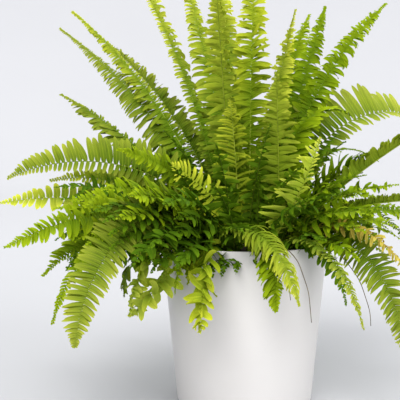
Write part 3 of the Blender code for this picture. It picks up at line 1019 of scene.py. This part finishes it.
@dataclass
class Frond:
    """One frond: a rib with leaflets on both sides of it."""

    line: Line
    growth: Growth
    seed: int
    leaf_thickness: float = 0.00034
    least_width: float = 0.0026
    width_per_length: float = 0.19
    widest: float = 0.0100
    foot_radius: float = 0.0015
    tip_radius: float = 0.00035
    rib_sides: int = 6
    rib_step: float = 0.008
    rib_end: float = 0.995
    stalk_share: float = 0.5  # the share of the bare foot that is stalk
    stalk_overlap: float = 0.003
    opening: float = 0.08  # the share of the rib over which its lowest leaflets grow longer
    closing: float = 0.035  # the length of the tip over which they grow shorter
    tip_bare: float = 0.003
    shortest: float = 0.0035
    bends: int = 8  # how many times along it the frond's own twist changes
    off_rib: float = 0.0004
    ruffle: float = 0.00035
    ruffles: float = 16.0

    def add_to(self, collected: Collected, shapes: dict) -> None:
        """Adds the frond's rib and leaflets to a mesh.

        Args:
            collected: The mesh that is being put together.
            shapes: The leaflet shape of each cut.
        """
        self.draw = np.random.default_rng(self.seed)
        self._add_rib(collected)
        self._add_leaflets(collected, shapes[self.growth.cut])

    def _radius(self, at: Array) -> Array:
        """The rib's radius at distances from its foot."""
        share = at / self.line.length
        return self.foot_radius + (self.tip_radius - self.foot_radius) * share**0.7

    def _add_rib(self, collected: Collected) -> None:
        """Adds the stalk and the rib as two closed tubes."""
        start = self.line.leafy_from * self.stalk_share
        parts = ((0.0, start + self.stalk_overlap, 2), (start, self.line.length * self.rib_end, 1))
        for low, high, slot in parts:
            steps = max(6, round((high - low) / self.rib_step))
            at = np.linspace(low, high, steps)
            radii = self._radius(at)
            if slot == 1:
                radii = radii * np.where(at > self.line.length * 0.98, 0.7, 1.0)
            vertices, faces = tube(self.line.place(at), radii, self.rib_sides)
            share = np.repeat(at / self.line.length, self.rib_sides)
            frond_map = np.stack([share[faces], np.zeros(faces.shape)], axis=-1)
            collected.add(vertices, faces, np.zeros((*faces.shape, 2)), frond_map, slot)

    def _places(self) -> tuple[Array, Array, Array, Array]:
        """Where the leaflets stand: their distances, sides, lengths and widths."""
        growth, line = self.growth, self.line
        rows = []
        lowest = line.leafy_from * growth.starts
        full_from = line.leafy_from + self.opening * line.length
        most = float(np.max(line.reach(np.linspace(0, line.length, 20))))
        at = lowest
        way = 1.0
        while at < line.length - self.tip_bare:
            length = most * (float(line.reach(np.array([at]))[0]) / most) ** growth.taper * growth.longer
            near_foot = min(1.0, 0.4 + 0.6 * (at - lowest) / (full_from - lowest))
            near_tip = min(1.0, max((line.length - at) / self.closing, 0.0)) ** 0.6
            length *= near_foot * near_tip * (1 + way * growth.uneven)
            length = max(length, self.shortest)
            width = min(self.widest, self.least_width + self.width_per_length * length) * growth.width
            if self.draw.random() >= growth.missing:
                rows.append((at, way, length, width))
            at += width * growth.gap * 0.5
            way = -way
        return tuple(np.array(rows).T)

    def _add_leaflets(self, collected: Collected, shape: LeafletShape) -> None:
        """Bends a copy of the leaflet into place at each place along the rib."""
        growth, draw = self.growth, self.draw
        at, way, length, width = self._places()
        count = len(at)
        share = at / self.line.length
        along, side, face = self.line.axes(at)
        bends = draw.normal(0, growth.loose, self.bends)
        drift = np.radians(np.interp(share, np.linspace(0, 1, self.bends), bends))
        turn = math.radians(growth.turn) + drift[:, None] * 0.7
        side, face = side * np.cos(turn) + face * np.sin(turn), face * np.cos(turn) - side * np.sin(turn)
        out = side * way[:, None]
        length = length * (1 + draw.normal(0, 0.06, count))
        width = width * (1 + draw.normal(0, 0.07, count))

        def uneven(angle: float | Array, looser: float = 1.0) -> Array:
            """An angle for every leaflet, in radians, with its share of looseness."""
            return np.radians(angle) + np.radians(draw.normal(0, growth.loose * looser, count))

        lean = uneven(growth.lean + (growth.lean_at_tip - growth.lean) * share**2)
        sickle = uneven(growth.sickle)
        fold = uneven(growth.fold)
        curl = uneven(growth.curl, 1.6) + drift
        twist = uneven(growth.twist)
        twist_more = uneven(0.0, 1.8)
        sag = np.clip(growth.sag * (1 + draw.normal(0, 0.3, count)), 0, None)
        phase = draw.uniform(0, math.tau, count)

        stations = np.unique(np.round(shape.vertices[:, 0], 4))
        column = np.searchsorted(stations, np.round(shape.vertices[:, 0], 4))
        point = self.line.place(at) + face * self.off_rib
        spots, acrosses, normals = [], [], []
        before = 0.0
        for u in stations:
            middle = (u + before) / 2
            step = (u - before) * length
            for share_along, is_step in ((middle, True), (u, False)):
                heading = lean + sickle * share_along
                climb = fold - curl * share_along
                direction = (
                    out * (np.cos(climb) * np.cos(heading))[:, None]
                    + along * (np.cos(climb) * np.sin(heading))[:, None]
                    + face * np.sin(climb)[:, None]
                )
                direction[:, 2] -= sag * share_along
                direction = unit(direction)
                if is_step:
                    point = point + direction * step[:, None]
            across = along * np.cos(heading)[:, None] - out * np.sin(heading)[:, None]
            across = unit(across - direction * np.sum(across * direction, axis=1, keepdims=True))
            normal = np.cross(across, direction) * way[:, None]
            roll = (twist * (0.4 + 0.6 * u) + twist_more * u)[:, None]
            spots.append(point)
            acrosses.append(across * np.cos(roll) + normal * np.sin(roll))
            normals.append(normal * np.cos(roll) - across * np.sin(roll))
            before = u
        spots, acrosses, normals = (np.stack(rows, axis=1) for rows in (spots, acrosses, normals))

        u, v, w = shape.vertices.T
        crease = math.sin(math.radians(growth.crease))
        half = width[:, None] / 2
        lifted = np.abs(v) * half * crease
        ruffle = self.ruffle * np.sin(u * self.ruffles + phase[:, None]) * v * v
        depth = w * self.leaf_thickness
        vertices = (
            spots[:, column]
            + acrosses[:, column] * (v * half)[..., None]
            + normals[:, column] * (lifted + ruffle + depth)[..., None]
        )
        luck = np.clip(draw.uniform(0.2, 0.9) + draw.normal(0, 0.2, count), 0, 1)
        for k in range(count):
            faces = shape.faces[:, ::-1] if way[k] > 0 else shape.faces
            corners = shape.corners[:, ::-1] if way[k] > 0 else shape.corners
            frond_map = np.empty(corners.shape)
            frond_map[..., 0] = share[k]
            frond_map[..., 1] = luck[k]
            collected.add(vertices[k], faces, corners, frond_map, 0)


@dataclass
class Foliage:
    """Makes the fronds' pieces: one for each node, one for each stand of small fronds, and curled ones."""

    leaves: dict
    ribs: dict
    stalk: Material
    shapes: dict
    front_room: float = 0.196  # how far forward of the pot's middle a small frond's rib may reach
    level_share: float = 0.8  # how much of a small frond's length is reach
    foot_depth: float = 0.008

    def frond(self, node: str, growth: Growth, seed: int) -> Object:
        """Makes the frond that stands in for a node of the frame.

        Args:
            node: The node.
            growth: How its leaflets are held.
            seed: The seed of its small differences.

        Returns:
            The frond's object.
        """
        fronds = [Frond(RibLine(node), growth, seed)]
        made = self._piece(node.replace("frond", "leafy_frond"), growth.tone, fronds)
        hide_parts(node)
        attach(made, "root")
        return made

    def undergrowth(self, stand: "Stand", soil: "Soil") -> Object:
        """Makes a stand of small fronds that fills the crown between the others.

        Args:
            stand: What the small fronds are like.
            soil: The soil that they stand in.

        Returns:
            Their object.
        """
        draw = np.random.default_rng(stand.seed)
        fronds = []
        for k in range(stand.count):
            share = (k + 0.5) / stand.count
            far = between((stand.near, stand.far), math.sqrt(share))
            turn = stand.first + (k * GOLDEN_TURN) % stand.span + draw.uniform(-8, 8)
            way = math.radians(turn)
            foot = (far * math.cos(way), far * math.sin(way), soil.height(far) - self.foot_depth)
            azimuth = turn + draw.uniform(-20, 20)
            rise = between(stand.rise, share) + draw.uniform(-6, 6)
            droop = between(stand.droop, share) + draw.uniform(-10, 10)
            length = between(stand.length, share) + draw.uniform(-0.015, 0.015)
            room = self.front_room / max(-math.sin(way), 0.01) - far
            rib = DrawnRib(foot, azimuth, rise, droop, min(length, room / self.level_share), stand.reach)
            fronds.append(Frond(rib, stand.growth, seed=900 + k))
        made = self._piece(stand.name, stand.growth.tone, fronds)
        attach(made, "root")
        return made

    def curled(self, name: str, rib: PlacedRib, growth: Growth, seed: int) -> Object:
        """Makes a curled young frond that hangs over the rim.

        Args:
            name: Its name.
            rib: Its rib.
            growth: How its leaflets are held.
            seed: The seed of its small differences.

        Returns:
            The frond's object.
        """
        made = self._piece(name, growth.tone, [Frond(rib, growth, seed)])
        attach(made, "root")
        return made

    def _piece(self, name: str, tone: Tone, fronds: Sequence[Frond]) -> Object:
        """Puts fronds of one tone together as one object, with a slot each for leaves, ribs and stalks."""
        collected = Collected()
        for frond in fronds:
            frond.add_to(collected, self.shapes)
        rib = self.ribs.get(tone, self.ribs[Tone.GROWN])
        return collected.object(name, [self.leaves[tone], rib, self.stalk])


@dataclass(frozen=True)
class Stand:
    """A stand of small fronds. Pairs run from its middle to its edge."""

    name: str
    count: int
    seed: int
    near: float
    far: float
    rise: tuple[float, float]
    droop: tuple[float, float]
    length: tuple[float, float]
    reach: float
    growth: Growth
    first: float = 0.0
    span: float = 360.0


# The stands in the crown's middle, at its low left side and at the front rim take the darker leaf tone of
# painted shade.
UNDERGROWTH = (
    Stand(
        "small_crown_fronds", 36, 31, 0.0, 0.096, (84, 56), (30, 84), (0.23, 0.12), 0.024,
        Growth(Tone.DEEP_SHADE, Cut.SMALL, width=1.2, gap=1.1, curl=50, loose=18),
    ),
    Stand(
        "small_left_fronds", 30, 32, 0.045, 0.094, (58, 34), (66, 86), (0.27, 0.20), 0.030,
        Growth(Tone.DEEP_SHADE, Cut.SMALL, width=1.4, gap=1.1, curl=40, turn=-24, loose=16), first=168, span=84,
    ),
    Stand(
        "small_left_tops", 15, 35, 0.05, 0.09, (54, 38), (56, 72), (0.28, 0.22), 0.034,
        Growth(cut=Cut.SMALL, width=1.3, curl=20, turn=-40, loose=12), first=166, span=70,
    ),
    Stand(
        "small_right_fronds", 20, 33, 0.045, 0.092, (60, 40), (60, 84), (0.22, 0.15), 0.028,
        Growth(cut=Cut.SMALL, width=1.3, gap=1.1, turn=14, curl=44, loose=16), first=318, span=62,
    ),
    Stand(
        "small_rim_fronds", 8, 34, 0.082, 0.096, (46, 40), (112, 130), (0.095, 0.080), 0.020,
        Growth(cut=Cut.SMALL, width=1.3, curl=50, loose=20), first=200, span=44,
    ),
    Stand(
        "small_front_fronds", 12, 36, 0.082, 0.095, (48, 42), (108, 128), (0.071, 0.057), 0.018,
        Growth(Tone.DEEP_SHADE, Cut.SMALL, width=1.3, curl=50, loose=18), first=244, span=36,
    ),
)

YOUNG = Growth(Tone.YOUNG, width=0.6, gap=1.6, lean=26, sickle=-22, curl=8, fold=6, sag=0.06, loose=8)
DYING = Growth(Tone.OLD, curl=60, loose=20, missing=0.1, sag=0.3, longer=1.3)
CURLY = Growth(
    Tone.BRIGHT, width=1.9, gap=0.62, lean=20, curl=46, sag=0.3, loose=32, longer=2.1, twist=30, crease=26
)
UPRIGHT = Growth(
    Tone.BRIGHT, Cut.BLUNT, lean=6, sickle=-12, curl=52, sag=0.22, gap=0.64, width=0.7, loose=10
)
DARKER = replace(UPRIGHT, tone=Tone.GROWN)
ARCHING = Growth(
    Tone.BRIGHT, Cut.BLUNT, lean=4, lean_at_tip=20, sickle=6, curl=12, longer=1.3, gap=1.08,
    missing=0.0, uneven=-0.3, turn=-16, loose=6,
)
SLOT_GROWTH = {"leaf_grown": Growth(), "leaf_young": YOUNG, "leaf_old": DYING}

# By the number in the node's name. A frond that is not here grows by its slot.
FROND_GROWTH = {
    1: Growth(Tone.BRIGHT, width=0.5, gap=0.7, lean=14, sickle=36, curl=60, sag=0.22, longer=1.35),
    2: replace(
        YOUNG, width=0.66, gap=1.3, lean=-4, sickle=6, curl=16, sag=0.15, longer=1.65, turn=-20, taper=0.55,
    ),
    3: Growth(
        cut=Cut.BLUNT, gap=0.5, width=0.7, curl=46, sag=0.2, loose=14, longer=1.75, uneven=-0.3, taper=0.35
    ),
    4: replace(CURLY, tone=Tone.YOUNG, width=1.4, uneven=-0.1, taper=0.3),
    5: replace(ARCHING, tone=Tone.OLIVE, uneven=-0.34, loose=3),
    6: replace(ARCHING, gap=1.15, uneven=-0.2),
    7: Growth(
        Tone.BRIGHT, lean=0, lean_at_tip=8, sickle=8, curl=14, gap=1.05, width=1.3, longer=2.35, loose=5,
        taper=1.05,
    ),
    8: Growth(lean=2, sickle=8, curl=12, gap=0.95, longer=1.6, turn=-20, uneven=0.2),
    9: Growth(longer=2.2, turn=-20, uneven=-0.5, taper=1.5),
    10: Growth(
        Tone.OLIVE, Cut.BLUNT, gap=0.75, width=0.95, loose=12, missing=0.05, longer=1.65, curl=24,
        uneven=0.55, taper=1.3,
    ),
    11: Growth(width=0.8, gap=0.75, lean=6, sickle=8, curl=20, longer=1.35, turn=-30),
    12: Growth(
        Tone.OLIVE, width=0.78, gap=0.82, lean=2, lean_at_tip=12, sickle=14, curl=8, fold=12, sag=0.04,
        crease=18, longer=0.98, turn=-26, uneven=-0.12, taper=0.66, loose=5,
    ),
    13: Growth(gap=1.1, longer=1.3),
    14: Growth(curl=44, longer=3.3, width=1.1, gap=0.8, missing=0, loose=12),
    15: replace(CURLY, tone=Tone.PALE, longer=1.4, width=1.5),
    16: Growth(
        Tone.OLIVE, lean=-8, sickle=-6, curl=60, sag=0.26, gap=0.9, width=0.62, longer=1.1, uneven=0.2,
        taper=1.6,
    ),
    17: Growth(
        Tone.BRIGHT, Cut.BLUNT, lean=0, curl=50, sag=0.2, gap=0.72, width=0.72, loose=14, longer=0.78,
        uneven=0.4, taper=1.4,
    ),
    18: Growth(
        Tone.OLIVE, Cut.BLUNT, curl=60, gap=0.66, loose=16, width=0.8, longer=1.0, uneven=-0.6, taper=1.5,
    ),
    19: replace(UPRIGHT, uneven=-0.4),
    21: replace(UPRIGHT, tone=Tone.YOUNG, loose=15),
    22: replace(YOUNG, width=0.42, gap=1.5, fold=-8, longer=1.55, taper=0.8),
    23: replace(YOUNG, tone=Tone.OLIVE, width=0.78, gap=0.85, lean=14, curl=36, loose=13, longer=1.15),
    24: replace(DARKER, loose=15),
    25: replace(
        ARCHING, tone=Tone.OLIVE, lean=0, sickle=4, longer=1.9, gap=1.15, uneven=0.5, taper=0.45, turn=0,
        loose=4,
    ),
    26: Growth(cut=Cut.BLUNT, lean=0, curl=40, longer=1.5, width=0.85, gap=0.8, uneven=-0.25),
    27: Growth(
        Tone.BRIGHT, Cut.BLUNT, fold=48, sag=0.05, longer=1.15, width=1.2, gap=0.46, missing=0,
    ),
    28: Growth(Tone.OLIVE, Cut.BLUNT, curl=24, fold=76, sag=0.05, longer=0.62, gap=0.64, missing=0),
    29: Growth(longer=0.8),
    30: replace(DYING, longer=1.25, width=0.85),
    31: Growth(Tone.OLIVE, lean=2, sickle=12, curl=22, width=0.66, gap=0.82, longer=1.04, turn=20),
    # Frond 32 here, and 41, 46 and 47 below, take the darker leaf tone of painted shade.
    32: Growth(Tone.DEEP_SHADE, longer=1.35, curl=44, taper=1.5),
    33: Growth(Tone.OLIVE, width=0.9, curl=30, sag=0.2, longer=1.15),
    34: replace(YOUNG, tone=Tone.PALE, gap=1.35, width=0.6, longer=1.9, uneven=-0.4, starts=0.9),
    35: replace(YOUNG, longer=1.6),
    36: Growth(longer=1.25, turn=-16),
    37: Growth(curl=46, loose=12, longer=1.2),
    40: replace(DARKER, tone=Tone.BRIGHT, longer=1.2),
    42: Growth(longer=1.8, uneven=-0.5, gap=0.7, width=0.85),
    49: Growth(longer=0.8, taper=3.0),
    52: Growth(Tone.BRIGHT),
    **dict.fromkeys((20, 38, 44), UPRIGHT),
    **dict.fromkeys((39, 45), DARKER),
    **dict.fromkeys((41, 46, 47), Growth(Tone.DEEP_SHADE, longer=1.3, curl=60, loose=24)),
    **dict.fromkeys((43, 48), Growth(longer=0.4, gap=1.3)),
}


SHORT_CURLS = replace(CURLY, tone=Tone.GROWN, width=2.0, gap=0.5, longer=1.0, lean=40, loose=18, starts=1.0)
CURLED = {
    "curled_left_frond": (
        PlacedRib(
            (
                (-0.072, -0.042, 0.222), (-0.095, -0.055, 0.258), (-0.120, -0.069, 0.256),
                (-0.129, -0.075, 0.2375), (-0.1187, -0.090, 0.2208), (-0.1173, -0.092, 0.2010),
                (-0.1272, -0.094, 0.1855), (-0.1414, -0.096, 0.1714), (-0.1560, -0.092, 0.1548),
                (-0.1663, -0.088, 0.1424),
            ),
            reach=0.034,
            bare=0.55,
        ),
        replace(CURLY, tone=Tone.PALE, width=1.5, gap=0.55, longer=1.0, lean=26, starts=1.0),
    ),
    "curled_rim_frond": (
        PlacedRib(
            (
                (-0.050, -0.085, 0.222), (-0.055, -0.112, 0.256), (-0.0564, -0.135, 0.2357),
                (-0.0660, -0.142, 0.2256), (-0.0784, -0.140, 0.2156), (-0.0909, -0.134, 0.2203),
                (-0.1035, -0.128, 0.2166), (-0.1120, -0.122, 0.2086),
            ),
            reach=0.0065,
            bare=0.34,
        ),
        SHORT_CURLS,
    ),
    "curled_short_frond": (
        PlacedRib(
            (
                (-0.052, -0.080, 0.222), (-0.057, -0.106, 0.256), (-0.0591, -0.128, 0.2431),
                (-0.0702, -0.134, 0.2384), (-0.0812, -0.132, 0.2297), (-0.0924, -0.126, 0.2317),
            ),
            reach=0.0065,
            bare=0.40,
        ),
        SHORT_CURLS,
    ),
}


# Pot, soil and runners


@dataclass
class Pot:
    """The plain tapered pot, with a thin rounded lip, a wall and a floor."""

    sides: int = 128
    wall: float = 0.0045
    floor: float = 0.006
    round_lip: float = 0.0015
    round_foot: float = 0.002
    foot_share: float = 0.816  # the foot's radius against the rim's

    def build(self, finish: Material) -> Object:
        """Draws the wall up from a disc, over the lip and down inside.

        Args:
            finish: The pot's material.

        Returns:
            The pot's object.
        """
        low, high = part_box("pot")
        rim = high.x
        foot = rim * self.foot_share
        pot = new_disc("tapered_pot", self.sides, foot, low.z)
        inside = rim - self.wall
        inside_foot = foot + (rim - foot) * self.floor / high.z - self.wall
        rings = ((rim, high.z, foot), (inside, high.z, rim), (inside_foot, self.floor, inside))
        with editing(pot):
            bpy.ops.mesh.select_all(action="SELECT")
            height = low.z
            for radius, top, before in rings:
                draw_out(top - height, top, radius / before)
                height = top
            face_outwards()
        self._round(pot, high.z)
        shade_smooth(pot, 35.0)
        pot.data.materials.append(finish)
        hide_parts("pot")
        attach(pot, "root")
        return pot

    def _round(self, pot: Object, top: float) -> None:
        """Rounds the two edges of the lip and the edge of the foot."""
        for height, width in ((top, self.round_lip), (0.0, self.round_foot)):
            with editing(pot):
                select_where(pot, lambda co: abs(co.z - height) < LEVEL)
                bpy.ops.mesh.select_mode(type="EDGE")
                edited = bmesh.from_edit_mesh(pot.data)
                for edge in edited.edges:
                    level = all(abs(v.co.z - height) < LEVEL for v in edge.verts)
                    radii = [math.hypot(v.co.x, v.co.y) for v in edge.verts]
                    edge.select_set(level and abs(radii[0] - radii[1]) < LEVEL)
                bmesh.update_edit_mesh(pot.data)
                bpy.ops.mesh.bevel(offset=width, segments=4, profile=0.5, affect="EDGES")


@dataclass
class Soil:
    """A rough domed plug of potting mix, with crumbs on it."""

    sides: int = 96
    rings: int = 22
    crumbs: int = 260
    crumb_size: tuple[float, float] = (0.0012, 0.0038)
    off_pot: float = 0.0004
    under_dome: float = 0.0012
    dome: float = 0.008
    taper: float = 0.9
    waves: int = 14
    wave_size: float = 0.0016

    def build(self, finish: Material, crumb_finish: Material) -> list[Object]:
        """Makes the plug and its crumbs.

        Args:
            finish: The potting mix's material.
            crumb_finish: The crumbs' material.

        Returns:
            Both objects.
        """
        low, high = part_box("soil")
        self.top = high.z
        self.radius = high.x - self.off_pot
        plug = self._plug(low.z)
        plug.data.materials.append(finish)
        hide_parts("soil")
        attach(plug, "root")
        crumbs = self._crumbs()
        crumbs.data.materials.append(crumb_finish)
        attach(crumbs, "root")
        return [plug, crumbs]

    def height(self, radius: float) -> float:
        """The soil's height at a distance from the middle, a little under the frame's dome."""
        return self.top - self.under_dome - self.dome * (radius / self.radius) ** 2

    def _plug(self, bottom: float) -> Object:
        """The plug: a disc drawn down to its bottom, with its top domed and roughened."""
        plug = new_disc("rough_soil", self.sides, self.radius, self.top)
        with editing(plug):
            bpy.ops.mesh.select_all(action="SELECT")
            draw_out(bottom - self.top, bottom, self.taper)
            face_outwards()
            for k in range(self.rings):
                inner = self.radius * (1 - k / self.rings)
                select_where(
                    plug,
                    lambda co: abs(co.z - self.top) < LEVEL and math.hypot(co.x, co.y) < inner * 0.9,
                    faces=True,
                )
                bpy.ops.mesh.inset(thickness=self.radius / (self.rings + 1.5), depth=0)
        roughness = np.random.default_rng(5)
        waves = roughness.uniform(-1, 1, (self.waves, 2)) * np.linspace(60, 900, self.waves)[:, None]
        phases = roughness.uniform(0, math.tau, self.waves)
        sizes = self.wave_size / (1 + np.arange(self.waves) * 0.35)
        for vertex in plug.data.vertices:
            if vertex.co.z < self.top - 0.001:
                continue
            far = math.hypot(vertex.co.x, vertex.co.y)
            rough = float(np.sum(sizes * np.sin(waves @ np.array([vertex.co.x, vertex.co.y]) + phases)))
            keep = 1.0 if far < self.radius * 0.98 else 0.3
            vertex.co.z = min(self.height(far) + rough * 0.55 * keep, self.top)
        shade_smooth(plug, 50.0)
        return plug

    def _crumbs(self) -> Object:
        """Crumbs of bark and mix, each a squashed round lump half in the soil."""
        lump = new_primitive(bpy.ops.mesh.primitive_ico_sphere_add, "soil_crumbs", subdivisions=1, radius=1.0)
        with editing(lump):
            select_where(lump, lambda co: co.z > 0.3)
            bpy.ops.transform.resize(value=(0.8, 1.1, 0.7), center_override=(0, 0, 0.3))
            select_where(lump, lambda co: co.x > 0.3)
            bpy.ops.transform.translate(value=(0.25, 0.0, -0.1))
        shape = np.array([v.co for v in lump.data.vertices])
        faces = np.array([list(p.vertices) for p in lump.data.polygons])
        bpy.data.objects.remove(lump)
        draw = np.random.default_rng(8)
        vertices, polygons = [], []
        for k in range(self.crumbs):
            far = self.radius * 0.96 * math.sqrt(draw.random())
            turn, spin = draw.uniform(0, math.tau, 2)
            size = draw.uniform(*self.crumb_size) * draw.uniform(0.5, 1.0, 3)
            cos, sin = math.cos(spin), math.sin(spin)
            local = (shape * (1 + draw.normal(0, 0.1, shape.shape))) * size
            turned = local @ np.array([[cos, sin, 0], [-sin, cos, 0], [0, 0, 1]])
            middle = (far * math.cos(turn), far * math.sin(turn), self.height(far) + size[2] * 0.3)
            polygons.extend((faces + len(shape) * k).tolist())
            vertices.extend((turned + middle).tolist())
        mesh = bpy.data.meshes.new("soil_crumbs")
        mesh.from_pydata(vertices, [], polygons)
        return mesh_object("soil_crumbs", mesh)


@dataclass
class Runner:
    """A thin bare thread that hangs over the rim, in place of one node of the frame."""

    node: str
    seed: int
    radius: float = 0.00085
    sides: int = 8
    waver: float = 0.0004

    def build(self, finish: Material) -> Object:
        """Builds the thread along its node's line.

        Args:
            finish: Its material.

        Returns:
            The thread's object.
        """
        line = StemLine(self.node)
        line.welded.free()
        draw = np.random.default_rng(self.seed)
        at = np.linspace(0, line.length, max(24, round(line.length / 0.004)))
        points = line.place(at)
        for k in range(2):
            rate = draw.uniform(90, 150)
            points[:, k] += self.waver * np.sin(at * rate + draw.uniform(0, math.tau))
        radii = self.radius * (1 - 0.45 * at / line.length)
        vertices, faces = tube(points, radii, self.sides)
        collected = Collected()
        flat = np.zeros((*faces.shape, 2))
        collected.add(vertices, faces, flat, flat, 0)
        made = collected.object(self.node.replace("runner", "thread"), [finish])
        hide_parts(self.node)
        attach(made, "root")
        return made


# Studio


@dataclass
class Studio:
    """The pale floor and backdrop, the soft light and the camera."""

    camera_place: tuple[float, float, float] = (-0.0674, -1.4885, 0.4254)
    camera_tilt: float = 85.26
    lens: float = 89.1
    sensor: float = 36.0
    softness: float = 40.0
    floor_size: float = 14.0
    backdrop_at: float = 3.2
    backdrop_rise: float = 0.35
    backdrop_top: float = 5.0

    def build(self, finish: Material) -> None:
        """Sets up the floor, the lights and the camera.

        Args:
            finish: The floor's material.
        """
        self._floor(finish)
        self._sun("window", (-0.38, -1.10, 1.25), 2.7, (1.0, 0.985, 0.95))
        self._sun("back_window", (0.55, 0.9, 1.5), 1.8, (1.0, 1.0, 0.96))
        self._sun("fill", (0.9, -0.8, 0.5), 1.4, (1.0, 0.99, 0.97))
        world = bpy.data.worlds.new("pale_room")
        world.use_nodes = True
        sky = world.node_tree.nodes["Background"]
        sky.inputs["Color"].default_value = (0.93, 0.94, 0.97, 1.0)
        sky.inputs["Strength"].default_value = 0.66
        bpy.context.scene.world = world
        bpy.context.scene.view_settings.view_transform = "Standard"
        camera = bpy.data.objects.new("camera", bpy.data.cameras.new("camera"))
        camera.data.lens = self.lens
        camera.data.sensor_width = self.sensor
        camera.location = self.camera_place
        camera.rotation_euler = (math.radians(self.camera_tilt), 0.0, 0.0)
        bpy.context.scene.collection.objects.link(camera)
        bpy.context.scene.camera = camera

    def _floor(self, finish: Material) -> None:
        """A floor that curves up into a backdrop."""
        floor = new_primitive(
            bpy.ops.mesh.primitive_plane_add, "floor", size=self.floor_size, location=(0, 0, -0.0004)
        )
        settle(floor)
        with editing(floor):
            bpy.ops.mesh.select_all(action="SELECT")
            bpy.ops.mesh.subdivide(number_cuts=3)
            for _ in range(2):
                select_where(floor, lambda co: co.y > self.floor_size * 0.2)
                bpy.ops.mesh.subdivide(number_cuts=3)
        for vertex in floor.data.vertices:
            beyond = max(0.0, vertex.co.y - self.backdrop_at)
            vertex.co.z += min(beyond * beyond * self.backdrop_rise, self.backdrop_top)
        floor.data.shade_smooth()
        floor.data.materials.append(finish)

    def _sun(self, name: str, towards: tuple, power: float, colour: Colour) -> None:
        """A very soft sun that shines from this direction.

        Args:
            name: The light's name.
            towards: The direction of the light, seen from the plant.
            power: Its strength.
            colour: Its colour.
        """
        light = bpy.data.lights.new(name, "SUN")
        light.energy = power
        light.color = colour
        light.angle = math.radians(self.softness)
        made = bpy.data.objects.new(name, light)
        made.rotation_euler = Vector(towards).to_track_quat("Z", "Y").to_euler()
        bpy.context.scene.collection.objects.link(made)


@dataclass
class Fern:
    """The whole plant in its pot."""

    groups: Groups
    pieces: list = field(default_factory=list)

    def build(self) -> None:
        """Builds the pot, the soil, every frond and the runners."""
        leaves = {tone: finish.material(self.groups) for tone, finish in LEAF_FINISHES.items()}
        ribs = {tone: finish.material(self.groups) for tone, finish in RIB_FINISHES.items()}
        stalk = STALK_FINISH.material(self.groups)
        thread = RUNNER_FINISH.material(self.groups)
        self._report(Pot().build(POT_FINISH.material(self.groups)))
        soil = Soil()
        for piece in soil.build(SOIL_FINISH.material(self.groups), CRUMB_FINISH.material(self.groups)):
            self._report(piece)
        shapes = {cut: pattern.model() for cut, pattern in PATTERNS.items()}
        foliage = Foliage(leaves, ribs, stalk, shapes)
        for stand in UNDERGROWTH:
            self._report(foliage.undergrowth(stand, soil))
        for k, (name, (rib, growth)) in enumerate(CURLED.items()):
            self._report(foliage.curled(name, rib, growth, seed=700 + k))
        slots = {s["node"]: s["material_slot"] for s in frame["record"]["subparts"]}
        for k, node in enumerate(sorted(frame["nodes"])):
            if node.startswith("frond"):
                growth = FROND_GROWTH.get(int(node[-2:]), SLOT_GROWTH[slots[node]])
                self._report(foliage.frond(node, growth, seed=200 + k))
            elif node.startswith("runner"):
                self._report(Runner(node, seed=200 + k).build(thread))

    def _report(self, piece: Object) -> None:
        """Keeps a piece and logs its size."""
        self.pieces.append(piece)
        LOG.info("%s: %d faces", piece.name, len(piece.data.polygons))


def main() -> None:
    """Builds the studio and the plant."""
    logging.basicConfig(level=logging.INFO, format="%(message)s")
    groups = Groups(mottling_group(), leaf_marks_group())
    Studio().build(FLOOR_FINISH.material(groups))
    fern = Fern(groups)
    fern.build()
    LOG.info("%d faces in all", sum(len(piece.data.polygons) for piece in fern.pieces))


if __name__ == "__main__":
    main()
